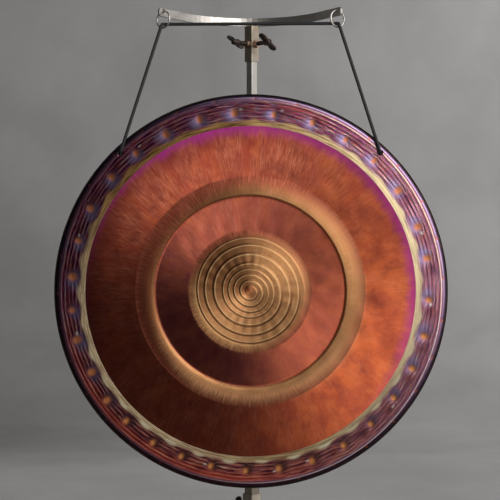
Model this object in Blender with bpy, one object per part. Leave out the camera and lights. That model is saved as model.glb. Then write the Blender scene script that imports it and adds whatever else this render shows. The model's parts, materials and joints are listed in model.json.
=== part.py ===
"""Deep gong on a telescopic floor stand, as separate pieces.

The gong hangs by one cord that runs up through two steel rings. The rings hang in
the ends of a bowed steel bar, which is welded to a sleeve on top of a square pole.
The pole slides in a middle tube, and the middle tube in a column on four legs.
Every sliding joint is clamped by two wing screws.

Metres, +Z up, front towards -Y. The origin is on the floor under the column.
"""
import math

import bmesh
import bpy
from mathutils import Matrix, Vector

# Clearances
SEAT_GAP = 0.0003          # between pieces that touch or are welded
SLIDE_CLEARANCE = 0.0005   # on each side of a tube that slides in another

# Heights of the bar, and of the gong that hangs from it
BAR_BOTTOM_Z = 1.307
GONG_DROP = 0.488          # from the bar's lower edge to the gong's centre
GONG_CENTRE_Z = BAR_BOTTOM_Z - GONG_DROP

# Gong
GONG_RADIUS = 0.350
FACE_Y = -0.1181           # front of the flat face
SHEET = 0.002
RIM_DEPTH = 0.073          # from the face to the back edge
RIM_TAPER = 0.005          # how much the back edge is smaller in radius
SHOULDER_RADIUS = 0.010
RIDGE_CREASE_RADIUS = 0.170
RIDGE_CREST_RADIUS = 0.1765
RIDGE_FOOT_RADIUS = 0.206
RIDGE_HEIGHT = 0.0080
PLATEAU_HEIGHT = 0.0025
BOSS_RADIUS = 0.105
BOSS_HEIGHT = 0.0135
BOSS_ROUNDING = 1.1        # 1 is a parabola in section, and a larger value has a softer edge
SPIRAL_RADIUS = 0.0945     # where the terrace starts
SPIRAL_PITCH = 0.0125
SPIRAL_TURNS = 6
SPIRAL_STEP = 0.0009       # half the height of the terrace's step
STEP_SHARE = 0.10          # of the pitch that the step takes up
GONG_SEGMENTS = 72

# Cord, its holes in the gong and its knots
CORD_DIAMETER = 0.006
CORD_HOLE_RADIUS = 0.005
CORD_HOLE_INSET = 0.0142    # from the gong's outer edge to the hole's centre
CORD_HOLE_CENTRES = GONG_RADIUS - CORD_HOLE_INSET
CORD_HOLE_ANGLE = math.radians(43.2)
CORD_BEND = CORD_DIAMETER / 2 + 2 * SEAT_GAP + 0.75 * SHEET  # the bend ends inside the hole
CORD_SLACK = 0.0008         # more room round a ring's wire, where the smoothed cord cuts the bend
KNOT_RADIUS = 0.0065

# Square tubes, from the inside out
POLE_SIDE = 0.015
TUBE_WALL = 0.002
CORNER_RADIUS = 0.0015
INNER_CORNER_RADIUS = 0.0003
SLEEVE_SIDE = POLE_SIDE + 2 * (SLIDE_CLEARANCE + TUBE_WALL)
COLUMN_SIDE = SLEEVE_SIDE + 2 * (SLIDE_CLEARANCE + TUBE_WALL)
POLE_WALL = 0.0015
POLE_INSERTION = 0.200     # in the middle tube
MIDDLE_INSERTION = 0.200   # in the column
MIDDLE_TOP_Z = 0.860
COLUMN_TOP_Z = 0.440

# Head
BAR_HEIGHT = 0.015
BAR_THICKNESS = 0.004
BOW_RADIUS = 0.150
BOW_SWEEP = math.radians(54)
TAB_LENGTH = 0.069
TAB_CORNER = 0.005
SLEEVE_LENGTH = 0.0656

# Rings
WIRE_DIAMETER = 0.0035
RING_RADIUS = 0.0147       # to the middle of the wire
RING_HOLE_RADIUS = 0.0025
RING_HOLE_FROM_TOP = 0.0044
RING_HOLE_FROM_TIP = 0.012
HOLE_CHAMFER = 0.001

# Wing screws and their nuts
SCREW_RADIUS = 0.004
SCREW_HOLE_CLEARANCE = 0.0004
NUT_ACROSS_FLATS = 0.013
NUT_HEIGHT = 0.0065
WING_CENTRE = 0.042        # from the tube's axis
WING_SPAN = 0.046
WING_WIDTH = 0.0155
WING_THICKNESS = 0.0048
HUB_RADIUS = 0.0062
HUB_LENGTH = 0.015
HUB_EDGE = 0.0016
WING_WAIST = 0.82          # width in the middle, as a share of the lobes' width
WING_EDGE = 0.001
SCREW_TIP_EDGE = 0.001
SCREW_BELOW_TOP = 0.033    # from the top of the tube that it clamps
HEAD_WING_TURN = math.radians(35)

# Foot
LEG_SIDE = 0.025
LEG_WALL = 0.002
LEG_REACH = 0.330          # from the column's axis to the end of the leg's tube
CAP_THICKNESS = 0.003
CAP_EDGE = 0.0009
CAP_SPIGOT = 0.014
CAP_SPIGOT_CORNER = 0.0006
FOOT_HEIGHT = 0.012
FOOT_RADIUS = 0.012
FOOT_EDGE = 0.001
FOOT_FROM_END = 0.022

ROUND_SIDES = 20


def clear_scene():
    for obj in list(bpy.data.objects):
        bpy.data.objects.remove(obj, do_unlink=True)


def material(name, colour, roughness, metallic):
    mat = bpy.data.materials.new(name)
    mat.use_nodes = True
    shader = mat.node_tree.nodes["Principled BSDF"]
    shader.inputs["Base Color"].default_value = (*colour, 1.0)
    shader.inputs["Roughness"].default_value = roughness
    shader.inputs["Metallic"].default_value = metallic
    mat.diffuse_color = (*colour, 1.0)
    return mat


def make_object(name, bm, mat, matrix=None, smooth=True):
    bmesh.ops.recalc_face_normals(bm, faces=bm.faces)
    mesh = bpy.data.meshes.new(name)
    bm.to_mesh(mesh)
    bm.free()
    if smooth:
        mesh.shade_smooth()
        mesh.set_sharp_from_angle(angle=math.radians(35))
    obj = bpy.data.objects.new(name, mesh)
    if mat:
        mesh.materials.append(mat)
    obj.matrix_world = matrix or Matrix()
    bpy.context.scene.collection.objects.link(obj)
    return obj


def combine(target, tool, operation):
    """Joins the tool to the target, or cuts it away, and removes the tool."""
    modifier = target.modifiers.new("combine", "BOOLEAN")
    modifier.operation = operation
    modifier.solver = "EXACT"
    modifier.object = tool
    bpy.context.view_layer.update()
    graph = bpy.context.evaluated_depsgraph_get()
    mesh = bpy.data.meshes.new_from_object(target.evaluated_get(graph))
    target.modifiers.clear()
    target.data = mesh
    bpy.data.objects.remove(tool, do_unlink=True)


def loops_to_bmesh(loops, ring=False):
    """Bridges loops of equally many points in order, with flat ends or as a closed ring."""
    bm = bmesh.new()
    rows = [[bm.verts.new(p) for p in loop] for loop in loops]
    pairs = list(zip(rows, rows[1:]))
    if ring:
        pairs.append((rows[-1], rows[0]))
    else:
        bm.faces.new(rows[0][::-1])
        bm.faces.new(rows[-1])
    for low, high in pairs:
        count = len(low)
        for i in range(count):
            j = (i + 1) % count
            bm.faces.new((low[i], low[j], high[j], high[i]))
    return bm


def circle(radius, z, sides=ROUND_SIDES):
    steps = [2 * math.pi * i / sides for i in range(sides)]
    return [(radius * math.cos(a), radius * math.sin(a), z) for a in steps]


def turned(profile, sides=ROUND_SIDES):
    """A solid of revolution about Z from (radius, z) pairs with flat ends."""
    return loops_to_bmesh([circle(r, z, sides) for r, z in profile])


def rounded_square(side, corner, z):
    points = []
    middle = side / 2 - corner
    steps = 3
    for quarter in range(4):
        for step in range(steps + 1):
            angle = math.radians(90) * (quarter + step / steps)
            sx = 1 if quarter in (0, 3) else -1
            sy = 1 if quarter in (0, 1) else -1
            points.append((sx * middle + corner * math.cos(angle),
                           sy * middle + corner * math.sin(angle), z))
    return points


def square_tube(side, wall, length):
    """A square tube along Z from 0, open at both ends."""
    inner_side = side - 2 * wall
    loops = [rounded_square(side, CORNER_RADIUS, 0),
             rounded_square(side, CORNER_RADIUS, length),
             rounded_square(inner_side, INNER_CORNER_RADIUS, length),
             rounded_square(inner_side, INNER_CORNER_RADIUS, 0)]
    return loops_to_bmesh(loops, ring=True)


def hexagonal(across_flats, height):
    radius = across_flats / 2 / math.cos(math.radians(30))
    return loops_to_bmesh([circle(radius, 0, 6), circle(radius, height, 6)])


DIAMOND = Matrix.Rotation(math.radians(45), 4, "Z")


def outward(angle):
    """A frame whose +Z points out of the column's axis at this angle from +X."""
    return Matrix.Rotation(angle, 4, "Z") @ Matrix.Rotation(math.radians(90), 4, "Y")


def screw_frame(angle, z, turn):
    return Matrix.Translation((0, 0, z)) @ outward(angle) @ Matrix.Rotation(turn, 4, "Z")


def drill(target, angle, z, radius, reach):
    """Cuts a round hole from the tube's axis outwards."""
    bit = make_object("bit", turned([(radius, 0), (radius, reach)]), None,
                      screw_frame(angle, z, 0))
    combine(target, bit, "DIFFERENCE")


def gong_profile():
    """The front outside the boss, as (radius, height in front of the face)."""
    rise = RIDGE_HEIGHT - PLATEAU_HEIGHT
    points = [(BOSS_RADIUS, PLATEAU_HEIGHT),
              ((BOSS_RADIUS + RIDGE_CREASE_RADIUS) / 2, PLATEAU_HEIGHT * 1.1),
              (RIDGE_CREASE_RADIUS, PLATEAU_HEIGHT)]
    inner = RIDGE_CREST_RADIUS - RIDGE_CREASE_RADIUS
    for share in (0.25, 0.6, 1.0):
        height = PLATEAU_HEIGHT + rise * math.sin(math.radians(90) * share ** 0.6)
        points.append((RIDGE_CREASE_RADIUS + inner * share, height))
    outer = RIDGE_FOOT_RADIUS - RIDGE_CREST_RADIUS
    for share in (0.25, 0.5, 0.75, 1.0):
        height = RIDGE_HEIGHT * 0.5 * (1 + math.cos(math.pi * share))
        points.append((RIDGE_CREST_RADIUS + outer * share, height))
    shoulder = GONG_RADIUS - SHOULDER_RADIUS
    points.append(((RIDGE_FOOT_RADIUS + shoulder) / 2, 0))
    for step in range(5):
        angle = math.radians(90) * step / 4
        points.append((shoulder + SHOULDER_RADIUS * math.sin(angle),
                       -SHOULDER_RADIUS * (1 - math.cos(angle))))
    points.append((GONG_RADIUS - RIM_TAPER, -RIM_DEPTH))
    return points


def gong_back_profile():
    """The inside of the sheet, one sheet behind the front, from the rim inwards."""
    front = gong_profile()
    shoulder = GONG_RADIUS - SHOULDER_RADIUS
    inner_shoulder = SHOULDER_RADIUS - SHEET
    points = [(GONG_RADIUS - RIM_TAPER - SHEET, -RIM_DEPTH)]
    for step in (3, 2, 1, 0):
        angle = math.radians(90) * step / 3
        points.append((shoulder + inner_shoulder * math.sin(angle),
                       -SHOULDER_RADIUS + inner_shoulder * math.cos(angle)))
    flat = [(r, h - SHEET) for r, h in front if r < shoulder - SHEET]
    points += flat[::-1]
    return points


def boss_height(radius):
    share = min(radius / BOSS_RADIUS, 1.0)
    return PLATEAU_HEIGHT + (BOSS_HEIGHT - PLATEAU_HEIGHT) * (1 - share ** 2) ** BOSS_ROUNDING


def gong_bmesh():
    """Front and back of the sheet. The boss's lines follow its spiral terrace."""
    bm = bmesh.new()
    angles = [2 * math.pi * i / GONG_SEGMENTS for i in range(GONG_SEGMENTS)]

    def vertex(radius, angle, height):
        return bm.verts.new((-radius * math.sin(angle), FACE_Y - height,
                             GONG_CENTRE_Z + radius * math.cos(angle)))

    def ring(radius, height):
        return [vertex(radius, a, height) for a in angles]

    def bridge(outer, inner):
        for i in range(GONG_SEGMENTS):
            j = (i + 1) % GONG_SEGMENTS
            bm.faces.new((outer[i], outer[j], inner[j], inner[i]))

    outline = [ring(r, h) for r, h in gong_profile()]
    inside = [ring(r, h) for r, h in gong_back_profile()]
    behind_boss = [ring(BOSS_RADIUS * s, boss_height(BOSS_RADIUS * s) - SHEET) for s in (0.66, 0.33)]
    whole = outline + inside + behind_boss
    for first, second in zip(whole, whole[1:]):
        bridge(first, second)
    back_centre = vertex(0, 0, BOSS_HEIGHT - SHEET)
    front_centre = vertex(0, 0, BOSS_HEIGHT)

    columns = []
    for i, angle in enumerate(angles):
        turned_share = angle / (2 * math.pi)
        column = [outline[0][i]]
        for turn in range(SPIRAL_TURNS):
            for share, side in ((0, -1), (STEP_SHARE, 1)):
                radius = SPIRAL_RADIUS - SPIRAL_PITCH * (turn + share + turned_share)
                fade = min((turn + turned_share) * 3, 1)
                step = side * SPIRAL_STEP * fade
                column.append(vertex(radius, angle, boss_height(radius) + step))
        columns.append(column)
    last = len(columns[0]) - 1
    for i in range(GONG_SEGMENTS - 1):
        here, there = columns[i], columns[i + 1]
        for k in range(last):
            bm.faces.new((here[k], here[k + 1], there[k + 1], there[k]))
        bm.faces.new((here[last], front_centre, there[last]))
    here, there = columns[-1], columns[0]
    bm.faces.new((here[0], here[1], there[3], there[2], there[1], there[0]))
    for k in range(1, last - 2):
        bm.faces.new((here[k], here[k + 1], there[k + 3], there[k + 2]))
    bm.faces.new((here[last - 2], here[last - 1], here[last], front_centre, there[last]))
    inner = behind_boss[-1]
    for i in range(GONG_SEGMENTS):
        bm.faces.new((inner[i], inner[(i + 1) % GONG_SEGMENTS], back_centre))
    bmesh.ops.triangulate(bm, faces=[f for f in bm.faces if len(f.verts) > 4])
    return bm


def cord_hole(side):
    """The middle of a cord hole, on the front of the face."""
    return Vector((side * CORD_HOLE_CENTRES * math.sin(CORD_HOLE_ANGLE), FACE_Y,
                   GONG_CENTRE_Z + CORD_HOLE_CENTRES * math.cos(CORD_HOLE_ANGLE)))


def make_gong(mat):
    gong = make_object("gong_disc", gong_bmesh(), mat)
    for side in (-1, 1):
        start = cord_hole(side) + Vector((0, -SHEET, 0))
        frame = Matrix.Translation(start) @ Matrix.Rotation(math.radians(-90), 4, "X")
        bit = make_object("bit", turned([(CORD_HOLE_RADIUS, 0), (CORD_HOLE_RADIUS, 3 * SHEET)]),
                          None, frame)
        combine(gong, bit, "DIFFERENCE")


def bow_point(distance):
    """The bow's centre line in plan and its direction, at a distance from the column."""
    arc = BOW_RADIUS * BOW_SWEEP
    along = min(abs(distance), arc)
    angle = along / BOW_RADIUS
    point = Vector((BOW_RADIUS * math.sin(angle), -BOW_RADIUS * (1 - math.cos(angle)), 0))
    direction = Vector((math.cos(angle), -math.sin(angle), 0))
    point += direction * (abs(distance) - along)
    if distance < 0:
        return Vector((-point.x, point.y, 0)), Vector((direction.x, -direction.y, 0))
    return point, direction


HALF_BOW = BOW_RADIUS * BOW_SWEEP + TAB_LENGTH


def make_bow_bar(mat):
    corner = [math.radians(90) * step / 4 for step in range(5)]
    ends = [HALF_BOW - TAB_CORNER * (1 - math.cos(a)) for a in corner]
    insets = [TAB_CORNER * (1 - math.sin(a)) for a in corner]
    arc = BOW_RADIUS * BOW_SWEEP
    steps = 14
    inner = [arc * (1 - step / steps) for step in range(steps)]
    right = list(zip(ends, insets)) + [(d, 0) for d in inner]
    stations = [(-d, inset) for d, inset in right] + [(0, 0)] + right[::-1]
    loops = []
    for distance, inset in stations:
        point, direction = bow_point(distance)
        across = Vector((-direction.y, direction.x, 0)) * BAR_THICKNESS / 2
        low = Vector((0, 0, BAR_BOTTOM_Z + inset))
        high = Vector((0, 0, BAR_BOTTOM_Z + BAR_HEIGHT - inset))
        loops.append([point - across + low, point + across + low,
                      point + across + high, point - across + high])
    bar = make_object("bow_bar", loops_to_bmesh(loops), mat)
    half = BAR_THICKNESS / 2
    wide = RING_HOLE_RADIUS + HOLE_CHAMFER
    spool = [(wide + half, -half * 2), (wide, -half), (RING_HOLE_RADIUS, HOLE_CHAMFER - half),
             (RING_HOLE_RADIUS, half - HOLE_CHAMFER), (wide, half), (wide + half, half * 2)]
    for side in (-1, 1):
        frame = ring_frame(side) @ Matrix.Translation((0, 0, hole_offset()))
        frame = frame @ Matrix.Rotation(math.radians(90), 4, "Y")
        bit = make_object("bit", turned(spool, 24), None, frame)
        combine(bar, bit, "DIFFERENCE")


def hole_offset():
    """How far the hole's centre lies above the ring's wire that hangs in it."""
    return RING_HOLE_RADIUS - WIRE_DIAMETER / 2 - SEAT_GAP


def ring_frame(side):
    """Where the ring's wire lies in its hole. X runs along the wire, through the bar."""
    point, direction = bow_point(side * (HALF_BOW - RING_HOLE_FROM_TIP))
    height = BAR_BOTTOM_Z + BAR_HEIGHT - RING_HOLE_FROM_TOP - hole_offset()
    angle = math.atan2(direction.y, direction.x) + math.radians(90)
    return Matrix.Translation(point + Vector((0, 0, height))) @ Matrix.Rotation(angle, 4, "Z")


def make_ring(name, side, mat):
    """A ring of round wire in the plane of X and Z of its frame, hanging from its top."""
    turns = 32
    around = 10
    loops = []
    for turn in range(turns):
        angle = 2 * math.pi * turn / turns
        centre = Vector((RING_RADIUS * math.sin(angle), 0, RING_RADIUS * (math.cos(angle) - 1)))
        out = Vector((math.sin(angle), 0, math.cos(angle)))
        loop = []
        for i in range(around):
            a = 2 * math.pi * i / around
            offset = out * math.cos(a) + Vector((0, 1, 0)) * math.sin(a)
            loop.append(centre + offset * WIRE_DIAMETER / 2)
        loops.append(loop)
    make_object(name, loops_to_bmesh(loops, ring=True), mat, ring_frame(side))


def smooth_route(points, per_span):
    """Points on a smooth curve through the given points."""
    padded = [2 * points[0] - points[1]] + points + [2 * points[-1] - points[-2]]
    route = []
    for a, b, c, d in zip(padded, padded[1:], padded[2:], padded[3:]):
        steps = max(2, min(per_span, round((c - b).length / (2.5 * CORD_DIAMETER)) + 3))
        for step in range(steps):
            t = step / steps
            route.append(0.5 * ((2 * b) + (c - a) * t + (2 * a - 5 * b + 4 * c - d) * t ** 2
                                + (3 * b - a - 3 * c + d) * t ** 3))
    route.append(points[-1])
    return route


def cord_end_y():
    """Where the cord ends behind the face, at the front of its knot."""
    return FACE_Y + SHEET


def rim_distance(hole, direction):
    """How far the gong's outer edge lies from a cord hole in this direction."""
    out = hole - Vector((0, FACE_Y, GONG_CENTRE_Z))
    along = out.dot(direction)
    return math.sqrt(along ** 2 + GONG_RADIUS ** 2 - out.length_squared) - along


def cord_half_route(side):
    """From the middle of the span, over the ring's bottom and down into the gong's hole."""
    wire = ring_frame(side) @ Vector((0, 0, -2 * RING_RADIUS))
    lift = (WIRE_DIAMETER + CORD_DIAMETER) / 2 + 2 * SEAT_GAP
    up = Vector((0, 0, 1))
    _, tab = bow_point(side * HALF_BOW)
    ahead = Vector((abs(tab.x) * side, -abs(tab.y), 0))
    hole = cord_hole(side)
    front_y = FACE_Y - CORD_DIAMETER / 2 - 2 * SEAT_GAP
    over = wire + up * (lift + CORD_SLACK)
    beside = wire + ahead * (lift + CORD_SLACK) + Vector((side * 0.001, 0, -0.002))
    above_hole = Vector((hole.x, front_y, hole.z))
    flat_drop = above_hole - beside
    flat_drop.y = 0
    flat_drop.normalize()
    bend_start = above_hole - flat_drop * CORD_BEND
    over_rim = above_hole - flat_drop * rim_distance(hole, -flat_drop)
    route = [Vector((0, wire.y, over.z)),
             Vector((wire.x * 0.5, wire.y, over.z)),
             Vector((wire.x - side * 0.022, wire.y, over.z)),
             over - Vector((side * 0.006, -0.0004, 0)),
             over + ahead * 0.0014 - up * 0.0002,
             wire + (ahead * 0.68 + up * 0.80) * (lift + 0.0002),
             beside,
             beside + (over_rim - beside) * 0.08,
             beside + (over_rim - beside) * 0.5,
             beside + (over_rim - beside) * 0.88,
             over_rim,
             bend_start]
    for step in (1, 2, 3):
        angle = math.radians(90) * step / 3
        along = CORD_BEND * (math.sin(angle) - 1)
        route.append(Vector((hole.x, front_y + CORD_BEND * (1 - math.cos(angle)), hole.z))
                     + flat_drop * along)
    return route


def make_cord(mat):
    left = cord_half_route(-1)
    right = cord_half_route(1)
    ends = [Vector((cord_hole(side).x, cord_end_y(), cord_hole(side).z)) for side in (-1, 1)]
    route = [ends[0]] + smooth_route(left[::-1] + right[1:], 5) + [ends[1]]
    curve = bpy.data.curves.new("cord", "CURVE")
    curve.dimensions = "3D"
    curve.bevel_depth = CORD_DIAMETER / 2
    curve.bevel_resolution = 2
    curve.use_fill_caps = True
    spline = curve.splines.new("POLY")
    spline.points.add(len(route) - 1)
    for point, place in zip(spline.points, route):
        point.co = (*place, 1)
    curve.materials.append(mat)
    cord = bpy.data.objects.new("cord", curve)
    bpy.context.scene.collection.objects.link(cord)


def make_knot(name, side, mat):
    """A knot behind the face, too big for the hole, as a rounded lump."""
    hole = cord_hole(side)
    centre = Vector((hole.x, cord_end_y() + SEAT_GAP + KNOT_RADIUS, hole.z))
    frame = Matrix.Translation(centre) @ Matrix.Rotation(math.radians(-90), 4, "X")
    steps = 8
    profile = []
    for step in range(1, steps):
        angle = math.pi * step / steps
        profile.append((KNOT_RADIUS * math.sin(angle), -KNOT_RADIUS * math.cos(angle)))
    profile[0] = (KNOT_RADIUS * 0.5, -KNOT_RADIUS)
    profile[-1] = (KNOT_RADIUS * 0.5, KNOT_RADIUS)
    make_object(name, turned(profile, 16), mat, frame)


def clamp_screw_mesh(tip, name):
    """A wing screw along Z, with its tip at this distance from the tube's axis."""
    hub_start = WING_CENTRE - HUB_LENGTH / 2
    hub_end = hub_start + HUB_LENGTH
    profile = [(SCREW_RADIUS - SCREW_TIP_EDGE, tip), (SCREW_RADIUS, tip + SCREW_TIP_EDGE),
               (SCREW_RADIUS, hub_start), (HUB_RADIUS - HUB_EDGE, hub_start),
               (HUB_RADIUS, hub_start + HUB_EDGE), (HUB_RADIUS, hub_end - HUB_EDGE),
               (HUB_RADIUS - HUB_EDGE, hub_end)]
    screw = make_object(name, turned(profile), None)
    end_radius = WING_WIDTH / 2
    middle = WING_SPAN / 2 - end_radius
    outline = []
    for side in (1, -1):
        for step in range(9):
            angle = math.radians(-90 + 180 * step / 8)
            outline.append((side * (middle + end_radius * math.cos(angle)),
                            side * end_radius * math.sin(angle)))
    outline.insert(len(outline) // 2, (0, end_radius * WING_WAIST))
    outline.append((0, -end_radius * WING_WAIST))
    half = WING_THICKNESS / 2
    loops = []
    for depth, inset in ((-half, WING_EDGE), (-half + WING_EDGE, 0), (half - WING_EDGE, 0),
                         (half, WING_EDGE)):
        loop = []
        for x, z in outline:
            shrink = 1 - inset / end_radius
            centre_x = max(-middle, min(middle, x))
            loop.append((centre_x + (x - centre_x) * shrink, depth, WING_CENTRE + z * shrink))
        loops.append(loop)
    wing = make_object("wing", loops_to_bmesh(loops), None)
    combine(screw, wing, "UNION")
    mesh = screw.data
    mesh.shade_smooth()
    mesh.set_sharp_from_angle(angle=math.radians(35))
    bpy.data.objects.remove(screw, do_unlink=True)
    return mesh


def make_clamp(place, tube, clamped_side, angles, z, turns, mats):
    """Two wing screws through welded nuts on two faces of a tube."""
    side = clamped_side + 2 * (SLIDE_CLEARANCE + TUBE_WALL)
    mesh = clamp_screw_mesh(clamped_side / 2 + SEAT_GAP, place + "_wing_screw")
    mesh.materials.clear()
    mesh.materials.append(mats["cast"])
    nut_hole = SCREW_RADIUS + SEAT_GAP
    for hand, angle, turn in zip(("left", "right"), angles, turns):
        drill(tube, angle, z, SCREW_RADIUS + SCREW_HOLE_CLEARANCE, side)
        frame = screw_frame(angle, z, 0) @ Matrix.Translation((0, 0, side / 2 + SEAT_GAP))
        nut = make_object(f"{place}_nut_{hand}", hexagonal(NUT_ACROSS_FLATS, NUT_HEIGHT),
                          mats["zinc"], frame, smooth=False)
        bore = turned([(nut_hole, -NUT_HEIGHT), (nut_hole, 2 * NUT_HEIGHT)])
        combine(nut, make_object("bit", bore, None, frame), "DIFFERENCE")
        screw = bpy.data.objects.new(f"{place}_wing_screw_{hand}", mesh)
        screw.matrix_world = screw_frame(angle, z, turn)
        bpy.context.scene.collection.objects.link(screw)


def standing_tube(name, side, wall, bottom, top, mat):
    frame = Matrix.Translation((0, 0, bottom)) @ DIAMOND
    return make_object(name, square_tube(side, wall, top - bottom), mat, frame)


def plug(name, side, wall, frame, mat):
    """A plastic plug for a square tube's end. Its head covers the end, +Z points out."""
    spigot = side - 2 * (wall + SEAT_GAP)
    loops = [rounded_square(spigot, CAP_SPIGOT_CORNER, -CAP_SPIGOT),
             rounded_square(spigot, CAP_SPIGOT_CORNER, SEAT_GAP),
             rounded_square(side, CORNER_RADIUS, SEAT_GAP),
             rounded_square(side, CORNER_RADIUS, CAP_THICKNESS - CAP_EDGE),
             rounded_square(side - 2 * CAP_EDGE, CORNER_RADIUS, CAP_THICKNESS)]
    make_object(name, loops_to_bmesh(loops), mat, frame)


def make_leg(place, angle, mats):
    """One leg of the foot, with the plug in its end and the rubber pad under it."""
    start = COLUMN_SIDE / 2 + SEAT_GAP
    middle_z = FOOT_HEIGHT + SEAT_GAP + LEG_SIDE / 2
    frame = Matrix.Translation((0, 0, middle_z)) @ outward(angle)
    make_object(f"leg_{place}", square_tube(LEG_SIDE, LEG_WALL, LEG_REACH - start), mats["plated"],
                frame @ Matrix.Translation((0, 0, start)))
    plug(f"leg_cap_{place}", LEG_SIDE, LEG_WALL, frame @ Matrix.Translation((0, 0, LEG_REACH)),
         mats["plastic"])
    reach = LEG_REACH - FOOT_FROM_END
    centre = Matrix.Translation((reach * math.cos(angle), reach * math.sin(angle), 0))
    profile = [(FOOT_RADIUS - FOOT_EDGE, 0), (FOOT_RADIUS, FOOT_EDGE),
               (FOOT_RADIUS, FOOT_HEIGHT - FOOT_EDGE), (FOOT_RADIUS - FOOT_EDGE, FOOT_HEIGHT)]
    make_object(f"foot_{place}", turned(profile), mats["rubber"], centre)


def build():
    clear_scene()
    mats = {
        "bronze": material("bronze", (0.46, 0.22, 0.11), 0.35, 1.0),
        "polished": material("polished_steel", (0.62, 0.61, 0.60), 0.12, 1.0),
        "plated": material("plated_steel", (0.42, 0.39, 0.35), 0.30, 1.0),
        "zinc": material("zinc", (0.55, 0.52, 0.48), 0.35, 1.0),
        "cast": material("dark_cast_metal", (0.055, 0.045, 0.040), 0.45, 0.8),
        "cord": material("black_cord", (0.012, 0.012, 0.013), 0.85, 0.0),
        "plastic": material("black_plastic", (0.02, 0.02, 0.02), 0.5, 0.0),
        "rubber": material("black_rubber", (0.015, 0.015, 0.015), 0.8, 0.0),
    }
    make_gong(mats["bronze"])
    make_cord(mats["cord"])
    make_bow_bar(mats["polished"])
    for name, side in (("left", -1), ("right", 1)):
        make_ring(f"ring_{name}", side, mats["polished"])
        make_knot(f"knot_{name}", side, mats["cord"])

    sleeve_top = BAR_BOTTOM_Z - SEAT_GAP
    sleeve = standing_tube("head_sleeve", SLEEVE_SIDE, TUBE_WALL, sleeve_top - SLEEVE_LENGTH,
                           sleeve_top, mats["plated"])
    standing_tube("inner_pole", POLE_SIDE, POLE_WALL, MIDDLE_TOP_Z - POLE_INSERTION,
                  BAR_BOTTOM_Z - SEAT_GAP, mats["polished"])
    middle = standing_tube("middle_tube", SLEEVE_SIDE, TUBE_WALL, COLUMN_TOP_Z - MIDDLE_INSERTION,
                           MIDDLE_TOP_Z, mats["plated"])
    leg_bottom = FOOT_HEIGHT + SEAT_GAP
    column = standing_tube("lower_column", COLUMN_SIDE, TUBE_WALL, leg_bottom, COLUMN_TOP_Z,
                           mats["plated"])
    under = Matrix.Translation((0, 0, leg_bottom)) @ DIAMOND @ Matrix.Rotation(math.pi, 4, "X")
    plug("column_plug", COLUMN_SIDE, TUBE_WALL, under, mats["plastic"])

    front = (math.radians(-135), math.radians(-45))
    rear = (math.radians(135), math.radians(45))
    make_clamp("head", sleeve, POLE_SIDE, front, sleeve_top - SCREW_BELOW_TOP,
               (math.radians(90) - HEAD_WING_TURN, math.radians(90) - HEAD_WING_TURN), mats)
    make_clamp("middle", middle, POLE_SIDE, rear, MIDDLE_TOP_Z - SCREW_BELOW_TOP,
               (math.radians(60), math.radians(115)), mats)
    make_clamp("column", column, SLEEVE_SIDE, rear, COLUMN_TOP_Z - SCREW_BELOW_TOP,
               (math.radians(20), math.radians(75)), mats)

    places = ("front_left", "front_right", "rear_left", "rear_right")
    for place, angle in zip(places, front + rear):
        make_leg(place, angle, mats)


build()
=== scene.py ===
"""Looks of the deep gong and its stand: finishes, fine shapes, light and camera.

The CAD model is the frame. The gong, its cord and hardware get detailed meshes in
place of the plain solids, and the tubes and legs keep their solids.
"""
from functools import partialmethod
from math import cos, exp, pi, radians, sin, sqrt

import bmesh
import bpy
import numpy as np
from mathutils import Matrix, Vector
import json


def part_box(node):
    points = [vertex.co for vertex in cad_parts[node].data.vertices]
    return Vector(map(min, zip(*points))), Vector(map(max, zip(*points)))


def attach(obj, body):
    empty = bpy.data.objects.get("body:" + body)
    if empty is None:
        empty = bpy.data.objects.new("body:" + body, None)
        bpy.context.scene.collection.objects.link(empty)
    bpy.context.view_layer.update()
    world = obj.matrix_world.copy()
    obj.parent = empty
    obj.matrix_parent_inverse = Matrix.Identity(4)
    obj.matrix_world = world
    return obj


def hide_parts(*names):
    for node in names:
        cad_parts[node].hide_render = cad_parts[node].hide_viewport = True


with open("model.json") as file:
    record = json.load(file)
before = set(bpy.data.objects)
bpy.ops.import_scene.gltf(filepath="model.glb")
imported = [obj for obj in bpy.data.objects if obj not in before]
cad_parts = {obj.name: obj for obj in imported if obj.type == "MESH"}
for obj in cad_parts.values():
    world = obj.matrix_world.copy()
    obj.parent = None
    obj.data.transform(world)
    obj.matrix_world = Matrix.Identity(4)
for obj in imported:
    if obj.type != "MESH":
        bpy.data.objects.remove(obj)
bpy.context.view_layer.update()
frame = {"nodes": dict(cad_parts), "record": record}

# Gong, from its solid's box and the part's own sizes
GONG_LOW, GONG_HIGH = (Vector(corner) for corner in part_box("gong_disc"))
GONG_RADIUS = (GONG_HIGH.x - GONG_LOW.x) / 2
RIM_DEPTH = 0.073
FACE_Y = GONG_HIGH.y - RIM_DEPTH
GONG_CENTRE = Vector((0, FACE_Y, (GONG_LOW.z + GONG_HIGH.z) / 2))
SHEET = 0.002
RIM_TAPER = 0.005
SHOULDER_RADIUS = 0.010
SHOULDER = GONG_RADIUS - SHOULDER_RADIUS
CREASE = 0.170
CREST = 0.1765
CREST_DRIFT = 0.0057         # the crest lies this much nearer the crease on the upper right
CREST_DRIFT_TO = radians(50)
RIDGE_FOOT = 0.206
RIDGE_HEIGHT = 0.0066
RIDGE_RISE = 0.4             # how steeply the ridge rises from its crease, as a power
PLATEAU_HEIGHT = 0.0025
BOSS_RADIUS = 0.105
BOSS_HEIGHT = 0.0132
BOSS_DOME = 1.1              # how the boss rounds off, as a power
HOLE_ANGLE = radians(43.2)
HOLE_CENTRES = 0.3358
HOLE_RADIUS = 0.005

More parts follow.
